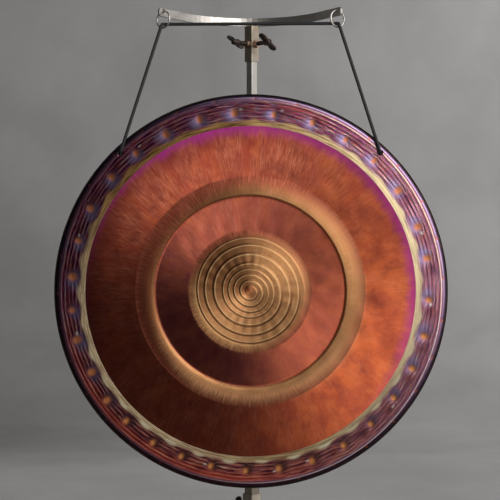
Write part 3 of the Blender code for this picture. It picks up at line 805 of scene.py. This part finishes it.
def terrace(radius, clockwise):
    """The boss's spiral: its height above the dome, and the masks for painted shade in its grooves
    and painted highlights on its lips.
    """
    shift = SPIRAL_SHIFT * (1 - np.cos(clockwise)) + SPIRAL_LEAN * np.cos(2 * (clockwise - 2.4))
    inset = radius - shift * np.clip(radius / 0.03, 0, 1)
    turns = np.interp(-inset, -np.array(SPIRAL), np.arange(len(SPIRAL)), right=len(SPIRAL))
    turns = np.where(inset > SPIRAL[0], (SPIRAL[0] - inset) / (SPIRAL[0] - SPIRAL[1]), turns)
    unwound = 1 - clockwise / (2 * pi)
    share = (turns - unwound) % 1
    present = smooth_step(turns, -0.25, 0.1) * smooth_step(radius, 0.004, 0.012)
    saw = 0.5 - share + smooth_step(share, 0.74, 1.0)
    # Painted shade in the grooves, deepest on the lower right and upper left
    shaded = 0.25 + 0.75 * (0.5 + 0.5 * np.cos(2 * (clockwise - 2.3)))
    groove = smooth_step(share, 0.66, 0.78) * (1 - smooth_step(share, 0.90, 1.0)) * shaded
    lip = np.exp(-((share - 0.02) / 0.07) ** 2) + np.exp(-((share - 1.02) / 0.07) ** 2)
    return STEP_HEIGHT * saw * present, groove * present, lip * present


def dent_angles(rng):
    """Where the hammer marks are, in degrees clockwise from the top."""
    angles = []
    for k in range(DENT_COUNT):
        even = 360 * k / DENT_COUNT
        drift = DENT_DRIFT * sin(radians(even + DRIFT_START))
        angles.append(FIRST_DENT + even + drift + rng.uniform(-DENT_JITTER, DENT_JITTER))
    return angles


def mark_places(rng):
    """For each kind of mark: the direction of each, how far it lies off its row and its size."""
    places = dent_angles(rng)
    dents = {mark: (rng.uniform(-0.002, 0.002), rng.uniform(0.85, 1.2)) for mark in places}
    middles = {(a + (b - a) % 360 / 2) % 360: (rng.uniform(-0.001, 0.001), rng.uniform(0.8, 1.2))
               for a, b in zip(places, places[1:] + places[:1])}
    glints = {mark + GLINT_TURN + rng.uniform(-0.5, 0.5):
              (rng.uniform(-0.001, 0.008), rng.uniform(0.7, 1.1))
              for mark in places if rng.random() < GLINT_CHANCE}
    before, behind = ({mark + turn: (0.0, size) for mark, (_, size) in dents.items()}
                      for turn in (-HALO_TURN, WAKE_TURN))
    return {"dent": dents, "edge_spot": middles, "between": middles, "halo": before,
            "glint": glints, "wake": behind}


def mark_nearness(radius, clockwise, marks, row, along, across):
    """Nearness to a row of marks: 1 at a mark's middle, falling to 0 round it."""
    nearest = np.zeros_like(radius)
    for mark, (centre, size) in marks.items():
        gap = (clockwise - radians(mark) + pi) % (2 * pi) - pi
        round_it = gap * radius / (along * size)
        outwards = (radius - row - centre) / (across * size)
        nearest = np.maximum(nearest, np.exp(-(round_it ** 2 + outwards ** 2)))
    return nearest


def gong_front(radius, clockwise):
    """Height, and the masks for the finishes, at every point of the front."""
    rng = np.random.default_rng(7)
    steps, groove, lip = terrace(radius, clockwise)
    masks = {"groove": groove, "lip": lip}
    for name, places in mark_places(rng).items():
        masks[name] = mark_nearness(radius, clockwise, places, *MARKS[name])
    height = profile_height(radius, clockwise)
    height += np.where(radius < BOSS_RADIUS, steps, 0)
    height -= DENT_DEPTH * masks["dent"] ** 1.5
    height -= SPOT_DEPTH * masks["edge_spot"]
    band = smooth_step(radius, 0.306, 0.310) * (1 - smooth_step(radius, 0.339, 0.343))
    lines = np.cos(2 * pi * radius / BAND_PITCH)
    height += LINE_RELIEF * lines * band * (1 - np.minimum(masks["dent"] * 1.5, 1))
    swell = blend_noise(clockwise, radius, rng, 14, (2, 26), (20, 190))
    calm = smooth_step(radius, 0.02, 0.06) * (1 - smooth_step(radius, 0.300, 0.312))
    height += SWELL_RELIEF * swell * calm
    return height, masks


def forged(sides, along):
    """Depth of the shallow forging marks round one ring of the rim or back, from 0 to 1."""
    clockwise = np.arange(sides) * 2 * pi / sides
    height = blend_noise(clockwise, along, np.random.default_rng(11), 16, (6, 44), (40, 300))
    return 0.5 + 0.5 * np.clip(height / 2, -1, 1)


def gong_ring(radius, sides, height=None):
    """One ring of points, with its masks. Without a height it's part of the front."""
    clockwise = np.arange(sides) * 2 * pi / sides
    spread = np.zeros(sides) + radius
    if height is None:
        height, masks = gong_front(spread, clockwise)
    else:
        height = np.zeros(sides) + height
        masks = {name: np.zeros(sides) for name in MASKS}
    points = np.stack([spread * np.sin(clockwise), -height, spread * np.cos(clockwise)], 1)
    return points, masks


def front_radii():
    """Radii of the front's rings, closer together where the surface has detail."""
    radii = []
    for low, high, step in FRONT_SPANS:
        count = max(2, round((high - low) / step))
        radii += list(np.linspace(low, high, count, endpoint=False))
    edge = [SHOULDER + SHOULDER_RADIUS * sin(pi / 2 * k / 8) for k in range(9)]
    return np.array(radii + edge)


def rim_rings():
    """Rings down the outside of the rim."""
    rings = []
    for level in np.linspace(-SHOULDER_RADIUS, -RIM_DEPTH, 25)[1:]:
        share = (-level - SHOULDER_RADIUS) / (RIM_DEPTH - SHOULDER_RADIUS)
        mark = forged(PLAIN_SIDES, level) * smooth_step(share, 0, 0.15)
        radius = GONG_RADIUS - RIM_TAPER * share - RIM_MARK * mark
        rings.append(gong_ring(radius, PLAIN_SIDES, level))
    return rings


def back_rings():
    """Rings from the rim's lip up its inside, round the shoulder and inwards over the back."""
    rings = [gong_ring(GONG_RADIUS - RIM_TAPER - SHEET, PLAIN_SIDES, -RIM_DEPTH)]
    inner_shoulder = SHOULDER_RADIUS - SHEET
    for k in range(5, -1, -1):
        angle = pi / 2 * k / 5
        rings.append(gong_ring(SHOULDER + inner_shoulder * sin(angle), PLAIN_SIDES,
                               -SHOULDER_RADIUS + inner_shoulder * cos(angle)))
    for start, end, count in BACK_SPANS:
        for radius in np.linspace(start, end, count):
            level = profile_height(np.array([radius]))[0] - SHEET
            level = level + BACK_MARK * forged(PLAIN_SIDES, radius)
            rings.append(gong_ring(radius, PLAIN_SIDES, level))
    return rings


def zone_of(ring, radii):
    """The finish of the strip outside this ring."""
    if ring >= len(radii) + EDGE_AFTER:
        return RAW
    if ring >= len(radii) - EDGE_BEFORE:
        return EDGE
    radius = radii[ring]
    if radius < BOSS_RADIUS + 0.001 or CREASE - 0.001 < radius < TURNED_END:
        return TURNED
    return BAND if radius > GOLD_INNER else BRUSHED


def strip(first, sides, second, next_sides):
    """Faces between two rings, given by their first points and how many they have."""
    if sides == next_sides:
        step = np.arange(sides)
        ahead = (step + 1) % sides
        return np.stack([first + step, second + step, second + ahead, first + ahead], 1).tolist()
    few = min(sides, next_sides)
    many = max(sides, next_sides) // few
    coarse, dense = (first, second) if sides < next_sides else (second, first)
    faces = []
    for i in range(few):
        fan = [dense + (i * many + m) % (few * many) for m in range(many + 1)]
        faces.append([coarse + i] + fan + [coarse + (i + 1) % few])
    return faces


def gong_faces(sizes, radii):
    """All faces of the sheet and their finishes, from the number of points in each ring."""
    starts = [sum(sizes[:k]) for k in range(len(sizes) + 1)]
    faces = []
    zones = []
    for k in range(len(sizes) - 1):
        between = strip(starts[k], sizes[k], starts[k + 1], sizes[k + 1])
        faces += between
        zones += [zone_of(k, radii)] * len(between)
    back_centre = starts[-1]
    last = starts[-2]
    for i in range(PLAIN_SIDES):
        j = (i + 1) % PLAIN_SIDES
        faces += [[last + i, last + j, back_centre], [i, j, back_centre + 1]]
        zones += [RAW, TURNED]
    return faces, zones


def gong_mesh():
    """The closed sheet: fine front, plain rim and back."""
    radii = front_radii()
    rings = [gong_ring(radius, PLAIN_SIDES if radius < BAND_START else BAND_SIDES)
             for radius in radii]
    rings += rim_rings() + back_rings()
    centres = np.array([[0, SHEET - BOSS_HEIGHT, 0], [0, -BOSS_HEIGHT, 0]])
    vertices = np.concatenate([points for points, _ in rings] + [centres])
    faces, zones = gong_faces([len(points) for points, _ in rings], radii)
    mesh = bpy.data.meshes.new("gong")
    mesh.from_pydata(vertices.tolist(), [], faces)
    for name in MASKS:
        values = np.concatenate([masks[name] for _, masks in rings] + [np.zeros(2)])
        layer = mesh.attributes.new(name, "FLOAT", "POINT")
        layer.data.foreach_set("value", values.astype(np.float32))
    mesh.polygons.foreach_set("material_index", np.array(zones, dtype=np.int32))
    return mesh


def make_gong():
    """The gong with its finishes and the two cord holes."""
    mesh = gong_mesh()
    for material in (brushed_bronze(), turned_bronze(), band_bronze(),
                     painted_shade_edge_bronze(), raw_bronze()):
        mesh.materials.append(material)
    bm = bmesh.new()
    bm.from_mesh(mesh)
    bmesh.ops.recalc_face_normals(bm, faces=bm.faces)
    bm.to_mesh(mesh)
    bm.free()
    mesh.shade_smooth()
    gong = placed("gong", mesh)
    gong.location = GONG_CENTRE
    for side in (-1, 1):
        cut_cord_hole(gong, side)
    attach(gong, "gong")
    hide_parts("gong_disc")


def cord_hole(side):
    """Middle of a cord hole, on the face's plane."""
    return GONG_CENTRE + Vector((side * HOLE_CENTRES * sin(HOLE_ANGLE), 0,
                                 HOLE_CENTRES * cos(HOLE_ANGLE)))


def cut_cord_hole(gong, side):
    bm = bmesh.new()
    place = Matrix.Translation(cord_hole(side)) @ Matrix.Rotation(pi / 2, 4, "X")
    bmesh.ops.create_cone(bm, cap_ends=True, segments=32, radius1=HOLE_RADIUS, radius2=HOLE_RADIUS,
                          depth=4 * SHEET, matrix=place)
    gong.data = combined(gong, mesh_object("hole_cutter", bm), "DIFFERENCE")


def curved_tube(points, radius_at, sides, closed=False):
    """A tube along the points. radius_at gives its radius at a distance and an angle."""
    count = len(points)
    tangents = []
    for k in range(count):
        before = points[k - 1] if closed or k else points[0]
        after = points[(k + 1) % count] if closed or k < count - 1 else points[-1]
        tangents.append((after - before).normalized())
    side = tangents[0].orthogonal().normalized()
    distance = 0
    bm = bmesh.new()
    loops = []
    for k, (point, tangent) in enumerate(zip(points, tangents)):
        if k:
            side = tangents[k - 1].rotation_difference(tangent) @ side
            distance += (point - points[k - 1]).length
        across = tangent.cross(side)
        spokes = [(side * cos(a) + across * sin(a)) * radius_at(distance, a)
                  for a in circle(sides)]
        loops.append([bm.verts.new(point + spoke) for spoke in spokes])
    skin(bm, loops, closed)
    return bm


def ring_centre(side):
    """Middle of the left or right ring."""
    low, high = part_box("ring_left" if side < 0 else "ring_right")
    return (low + high) / 2


def ring_frame(side):
    """At the ring's centre, with X along the wire where it passes through the bar."""
    turn = side * (pi / 2 - BOW_SWEEP)
    return Matrix.Translation(ring_centre(side)) @ Matrix.Rotation(turn, 4, "Z")


def ring_radius():
    """From a ring's centre to the middle of its wire."""
    low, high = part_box("ring_left")
    return (high.z - low.z) / 2 - WIRE_RADIUS


def make_rings(finish):
    """Rings of bent wire, with the closed joint of its ends at one side."""
    radius = ring_radius()
    joint = WIRE_JOINT * 2 * pi * radius

    def wire(distance, angle):
        return WIRE_RADIUS - JOINT_DEPTH * exp(-((distance - joint) / JOINT_WIDTH) ** 2)

    for name, side in (("left", -1), ("right", 1)):
        frame_here = ring_frame(side)
        points = [frame_here @ Vector((radius * sin(a), 0, radius * cos(a)))
                  for a in circle(WIRE_POINTS)]
        ring = mesh_object(f"wire_ring_{name}", curved_tube(points, wire, 16, closed=True), finish)
        dress(ring, "gong", "polished_steel", f"ring_{name}")


def smooth_route(points, spacing):
    """Points at about this spacing on a smooth curve through the given points."""
    padded = [2 * points[0] - points[1]] + points + [2 * points[-1] - points[-2]]
    route = []
    for a, b, c, d in zip(padded, padded[1:], padded[2:], padded[3:]):
        steps = max(1, round((c - b).length / spacing))
        for step in range(steps):
            t = step / steps
            route.append(0.5 * ((2 * b) + (c - a) * t + (2 * a - 5 * b + 4 * c - d) * t ** 2
                                + (3 * b - a - 3 * c + d) * t ** 3))
    route.append(points[-1])
    return route


def rim_distance(hole, direction):
    """How far the gong's outer edge lies from a cord hole in this direction."""
    out = hole - GONG_CENTRE
    along = out.dot(direction)
    return sqrt(along ** 2 + GONG_RADIUS ** 2 - out.length_squared) - along


def cord_half_route(side):
    """From the middle of the span, over the ring's bottom and down into the gong's hole."""
    wire = ring_frame(side) @ Vector((0, 0, -ring_radius()))
    lift = WIRE_RADIUS + CORD_RADIUS + 2 * SEAT_GAP
    up = Vector((0, 0, 1))
    ahead = Vector((cos(BOW_SWEEP) * side, -sin(BOW_SWEEP), 0))
    hole = cord_hole(side)
    front_y = FACE_Y - CORD_RADIUS - 2 * SEAT_GAP
    over = wire + up * (lift + CORD_SLACK)
    beside = wire + ahead * (lift + CORD_SLACK) + Vector((side * 0.001, 0, -0.002))
    above_hole = Vector((hole.x, front_y, hole.z))
    flat_drop = above_hole - beside
    flat_drop.y = 0
    flat_drop.normalize()
    bend_start = above_hole - flat_drop * CORD_BEND
    over_rim = above_hole - flat_drop * rim_distance(hole, -flat_drop)
    route = [Vector((0, wire.y, over.z)),
             Vector((wire.x * 0.5, wire.y, over.z)),
             Vector((wire.x - side * 0.022, wire.y, over.z)),
             over - Vector((side * 0.006, -0.0004, 0)),
             over + ahead * 0.0014 - up * 0.0002,
             wire + (ahead * 0.68 + up * 0.80) * (lift + 0.0002),
             beside,
             beside + (over_rim - beside) * 0.08,
             beside + (over_rim - beside) * 0.5,
             beside + (over_rim - beside) * 0.88,
             over_rim,
             bend_start]
    for step in (1, 2, 3):
        angle = radians(90) * step / 3
        along = CORD_BEND * (sin(angle) - 1)
        route.append(Vector((hole.x, front_y + CORD_BEND * (1 - cos(angle)), hole.z))
                     + flat_drop * along)
    return route


def braid(distance, angle):
    """Radius of the cord: strands that cross each other both ways round it."""
    turn = angle / (2 * pi) * BRAID_STRANDS / 2
    along = distance / BRAID_PITCH * 2
    height = max(abs(cos(pi * (turn + along))), abs(cos(pi * (turn - along))))
    return CORD_RADIUS - BRAID_RELIEF * (1 - height)


def make_cord(finish):
    """The braided cord, in one run from hole to hole."""
    left, right = cord_half_route(-1), cord_half_route(1)
    ends = [cord_hole(side) + Vector((0, SHEET, 0)) for side in (-1, 1)]
    route = [ends[0]] + smooth_route(left[::-1] + right[1:], CORD_SPACING) + [ends[1]]
    cord = mesh_object("braided_cord", curved_tube(route, braid, 24), finish)
    dress(cord, "gong", "black_cord", "cord")


def make_knots(finish):
    """The cord's ends, tied in a knot that can't pass the hole."""
    def strand(distance, angle):
        return braid(distance, angle) * KNOT_STRAND / CORD_RADIUS

    for name in ("knot_left", "knot_right"):
        low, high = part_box(name)
        centre = (low + high) / 2
        deep = (high.x - low.x) / 2 - KNOT_STRAND
        wide = deep / 3
        points = [centre + Vector((wide * (sin(a) + 2 * sin(2 * a)),
                                   -deep * sin(3 * a),
                                   wide * (cos(a) - 2 * cos(2 * a))))
                  for a in circle(KNOT_POINTS)]
        rope = mesh_object(f"tied_{name}", curved_tube(points, strand, 16, closed=True), finish)
        dress(rope, "gong", "black_cord", name)


def screw_shank(tip, bm):
    """Threaded shank and hub, one closed shape about Z."""
    hub_start = WING_CENTRE - HUB_LENGTH / 2
    angles = circle(SCREW_SIDES)
    rings = []
    for height in list(np.arange(tip, hub_start, THREAD_PITCH / 8)) + [hub_start]:
        taper = min(1, SCREW_TIP + (1 - SCREW_TIP) * (height - tip) / SCREW_POINT)
        turn = 2 * pi * height / THREAD_PITCH
        rings.append((height, [taper * (SCREW_RADIUS - THREAD_DEPTH * (0.5 - 0.5 * cos(turn - a)))
                               for a in angles]))
    for share, swell in HUB_OUTLINE:
        rings.append((hub_start + HUB_LENGTH * share, [HUB_RADIUS * swell] * len(angles)))
    skin(bm, [[bm.verts.new((radius * cos(a), radius * sin(a), height))
               for a, radius in zip(angles, radii)] for height, radii in rings])


def wing_outline(middle, end_radius):
    """Both lobes' outline, with a round end each and a waist between them."""
    shallow = end_radius * (1 + WING_WAIST) / 2
    outline = []
    for side in (1, -1):
        for step in range(LOBE_STEPS + 1):
            angle = radians(-90 + 180 * step / LOBE_STEPS)
            outline.append((side * (middle + end_radius * cos(angle)),
                            side * end_radius * sin(angle)))
        outline += [(side * middle * 0.5, side * shallow), (0, side * end_radius * WING_WAIST),
                    (-side * middle * 0.5, side * shallow)]
    return outline


def wing_plate(bm):
    """The two lobes, round at the edge and dished in the middle of each face."""
    end_radius = WING_WIDTH / 2
    middle = WING_SPAN / 2 - end_radius
    half = WING_THICKNESS / 2
    rounding = [radians(90) * k / 5 for k in range(6)]
    section = [(-half + WING_DISH, DISH_FLOOR), (-half + WING_DISH, DISH_FOOT), (-half, DISH_EDGE)]
    section += [(-half * sin(a), half * (1 - cos(a))) for a in rounding[::-1]]
    section += [(half * sin(a), half * (1 - cos(a))) for a in rounding[1:]]
    section += [(half, DISH_EDGE), (half - WING_DISH, DISH_FOOT), (half - WING_DISH, DISH_FLOOR)]
    loops = []
    for depth, inset in section:
        shrink = 1 - inset / end_radius
        ring = []
        for x, z in wing_outline(middle, end_radius):
            centre_x = max(-middle, min(middle, x))
            ring.append(bm.verts.new((centre_x + (x - centre_x) * shrink, depth,
                                      WING_CENTRE + z * shrink)))
        loops.append(ring)
    skin(bm, loops)


def screw_mesh(tip, finish):
    """Shank, hub and wings in one, with the shank's end this far from the pole's middle."""
    shank, plate = bmesh.new(), bmesh.new()
    screw_shank(tip, shank)
    wing_plate(plate)
    screw = mesh_object("shank", shank, finish)
    mesh = combined(screw, mesh_object("plate", plate, finish), "UNION")
    bpy.data.objects.remove(screw, do_unlink=True)
    mesh.shade_smooth()
    mesh.set_sharp_from_angle(angle=SHARP)
    return mesh


def make_wing_screws(finish):
    """Two screws at each of the three clamps, each with its wings at its own turn."""
    thin = screw_mesh(POLE_SIDE / 2 + SEAT_GAP, finish)
    wide = screw_mesh(SLEEVE_SIDE / 2 + SEAT_GAP, finish)
    clamps = (("head", thin, FRONT_ANGLES, (55, 55)), ("middle", thin, REAR_ANGLES, (60, 115)),
              ("column", wide, REAR_ANGLES, (20, 75)))
    for clamp, mesh, angles, turns in clamps:
        for hand, angle, turn in zip(("left", "right"), angles, turns):
            low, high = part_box(f"{clamp}_nut_{hand}")
            screw = placed(f"{clamp}_wing_{hand}", mesh)
            screw.matrix_world = (Matrix.Translation((0, 0, (low.z + high.z) / 2))
                                  @ Matrix.Rotation(angle, 4, "Z")
                                  @ Matrix.Rotation(radians(90), 4, "Y")
                                  @ Matrix.Rotation(radians(turn), 4, "Z"))
            dress(screw, f"{clamp}_screw_{hand}", "dark_cast_metal", f"{clamp}_wing_screw_{hand}")


def bead(name, points, thickness, body, finish):
    """A weld bead, with the ripples of the pass."""
    def ripple(distance, angle):
        return thickness * (1 + RIPPLE_DEPTH * sin(2 * pi * distance / (thickness * RIPPLE_PITCH)))
    dress(mesh_object(name, curved_tube(points, ripple, 10), finish), body, "plated_steel")


def straight(start, end):
    """Evenly spaced points from start to end."""
    count = max(2, round((end - start).length / WELD_SPACING))
    return [start.lerp(end, k / count) for k in range(count + 1)]


def make_welds(finish):
    """Under the bar on the sleeve, and round the root of each leg."""
    for name, y in (("front", -BAR_WELD_Y), ("rear", BAR_WELD_Y)):
        points = straight(Vector((-BAR_WELD_REACH, y, BAR_BOTTOM_Z)),
                          Vector((BAR_WELD_REACH, y, BAR_BOTTOM_Z)))
        bead(f"bar_weld_{name}", points, BAR_WELD_RADIUS, "head", finish)
    leg_low, leg_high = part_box("leg_front_left")
    half = (leg_high.z - leg_low.z) / 2
    middle_z = (leg_high.z + leg_low.z) / 2
    face = half + LEG_WELD_LIFT
    for k, place in enumerate(("front_left", "front_right", "rear_right", "rear_left")):
        turn = Matrix.Rotation(radians(-135 + 90 * k), 4, "Z")
        corners = [turn @ Vector((face, y * half, middle_z + z * half))
                   for y, z in ((-LEG_WELD_SPAN, -LEG_WELD_SPAN), (-LEG_WELD_SPAN, 1.0),
                                (LEG_WELD_SPAN, 1.0), (LEG_WELD_SPAN, -LEG_WELD_SPAN))]
        points = straight(corners[0], corners[1])[:-1] + straight(corners[1], corners[2])[:-1]
        points += straight(corners[2], corners[3])
        bead(f"leg_weld_{place}", points, LEG_WELD_RADIUS, "base", finish)


def soften_solids():
    """Rounds the sharp edges of the solids that show, by what each was made from."""
    for name, node in frame["nodes"].items():
        width = SOFT_EDGES.get(name)
        if name.startswith(("leg", "foot")):
            width = SOFT_FOOT
        if "_nut_" in name:
            width = SOFT_NUT
        if not width:
            continue
        node.modifiers.new("weld", "WELD").merge_threshold = 0.00001
        flat = node.modifiers.new("flat", "DECIMATE")
        flat.decimate_type = "DISSOLVE"
        flat.angle_limit = radians(1)
        bevel = node.modifiers.new("soft", "BEVEL")
        bevel.width = width
        bevel.segments = 3
        bevel.limit_method = "ANGLE"
        bevel.angle_limit = SHARP


def dress_solids(finishes):
    """Finishes for the solids that show as they are."""
    for subpart in frame["record"]["subparts"]:
        finish = finishes.get(subpart["material_slot"])
        if finish:
            for place in frame["nodes"][subpart["node"]].material_slots:
                place.material = finish


# Stage, light and camera


def stage_plaster():
    """Pale plaster with faint drips, and a painted light that glows a little for the camera alone,
    brighter to the right.
    """
    s = Surface("stage_pale", Roughness=0.95)
    place = s.object_position()
    x, _, z = s.node("SeparateXYZ", Vector=place).outputs
    drips = s.noise(1.0, 4.0, vector=s.stretched((1.6, 1.6, 0.25)))
    plaster = s.layers((146, 144, 142), (s.ease(s.noise(1.3, 6.0, 0.6), 0.3, 0.7), (158, 156, 155)),
                       (s.ease(drips, 0.55, 0.75, 0.0, 0.5), (132, 130, 130)))
    seen = s.node("LightPath").outputs["Is Camera Ray"]
    # Painted light: a glow for the camera alone, brighter to the right and higher up on the left
    left = s.ease(z, 0.0, 2.4, STAGE_GLOW_LOW_LEFT, STAGE_GLOW_HIGH_LEFT)
    glow = s.ease(x, -1.6, 2.0, left, STAGE_GLOW_RIGHT)
    s.set(Base_Color=plaster, Emission_Color=plaster, Emission_Strength=s.times(seen, glow))
    return s.material


def make_stage():
    """A floor and wall, round the object so that every side has a backdrop."""
    profile = []
    for k in range(STAGE_STEPS + 1):
        angle = pi / 2 * k / STAGE_STEPS
        profile.append((STAGE_RADIUS - STAGE_CURVE + STAGE_CURVE * sin(angle),
                        STAGE_CURVE - STAGE_CURVE * cos(angle)))
    profile.append((STAGE_RADIUS, STAGE_HEIGHT))
    bm = bmesh.new()
    middle = bm.verts.new((0, 0, 0))
    rings = [[bm.verts.new((r * cos(a), r * sin(a), z)) for a in circle(STAGE_SIDES)]
             for r, z in profile]
    for i in range(STAGE_SIDES):
        j = (i + 1) % STAGE_SIDES
        bm.faces.new((middle, rings[0][i], rings[0][j]))
        for inner, outer in zip(rings, rings[1:]):
            bm.faces.new((inner[i], outer[i], outer[j], inner[j]))
    mesh_object("backdrop", bm, stage_plaster())


def area_light(name, place, target, size, power, colour=(1, 1, 1)):
    """A soft rectangular light at a place, turned to its target."""
    light = bpy.data.lights.new(name, "AREA")
    light.shape = "RECTANGLE"
    light.size, light.size_y = size
    light.energy = power
    light.color = colour
    lamp = placed(name, light)
    lamp.location = place
    lamp.rotation_euler = (Vector(target) - Vector(place)).to_track_quat("-Z", "Y").to_euler()


def make_lights():
    """A dim cool world, four soft lights round the gong and one on the wall behind it."""
    world = bpy.data.worlds.new("studio")
    world.use_nodes = True
    background = world.node_tree.nodes["Background"]
    background.inputs["Color"].default_value = WORLD_COLOUR
    background.inputs["Strength"].default_value = WORLD_STRENGTH
    bpy.context.scene.world = world
    area_light("key", (1.7, -2.3, 2.4), GONG_CENTRE, (3.2, 2.4), 92, (1.0, 0.98, 0.95))
    area_light("side", (2.9, -0.4, 1.4), (0, -0.1, 1.1), (3.0, 2.6), 24, (1.0, 0.99, 0.97))
    area_light("low", (1.5, -2.5, 0.8), GONG_CENTRE, (1.6, 0.7), 9)
    area_light("rear", (-1.5, 2.8, 2.0), (0, 0, 0.9), (2.4, 1.8), 22)
    area_light("wall", (2.4, 4.2, 3.6), (0.9, 6.4, 1.3), (1.6, 1.6), 60)


def make_camera():
    """A level camera, turned towards the gong."""
    data = bpy.data.cameras.new("camera")
    data.lens = LENS
    data.sensor_width = 36
    camera = placed("camera", data)
    camera.location = EYE
    level_target = Vector((GONG_CENTRE.x, GONG_CENTRE.y, EYE.z))
    camera.rotation_euler = (level_target - EYE).to_track_quat("-Z", "Y").to_euler()
    bpy.context.scene.camera = camera


make_camera()
make_lights()
make_stage()
slots = {"polished_steel": polished_steel(), "plated_steel": plated_steel(), "zinc": zinc(),
         "dark_cast_metal": cast_metal(), "black_cord": black_cord(),
         "black_plastic": black_plastic(), "black_rubber": black_rubber()}
dress_solids(slots)
soften_solids()
make_gong()
make_rings(slots["polished_steel"])
make_cord(slots["black_cord"])
make_knots(slots["black_cord"])
make_wing_screws(slots["dark_cast_metal"])
make_welds(slots["plated_steel"])
bpy.context.scene.view_settings.view_transform = "Standard"
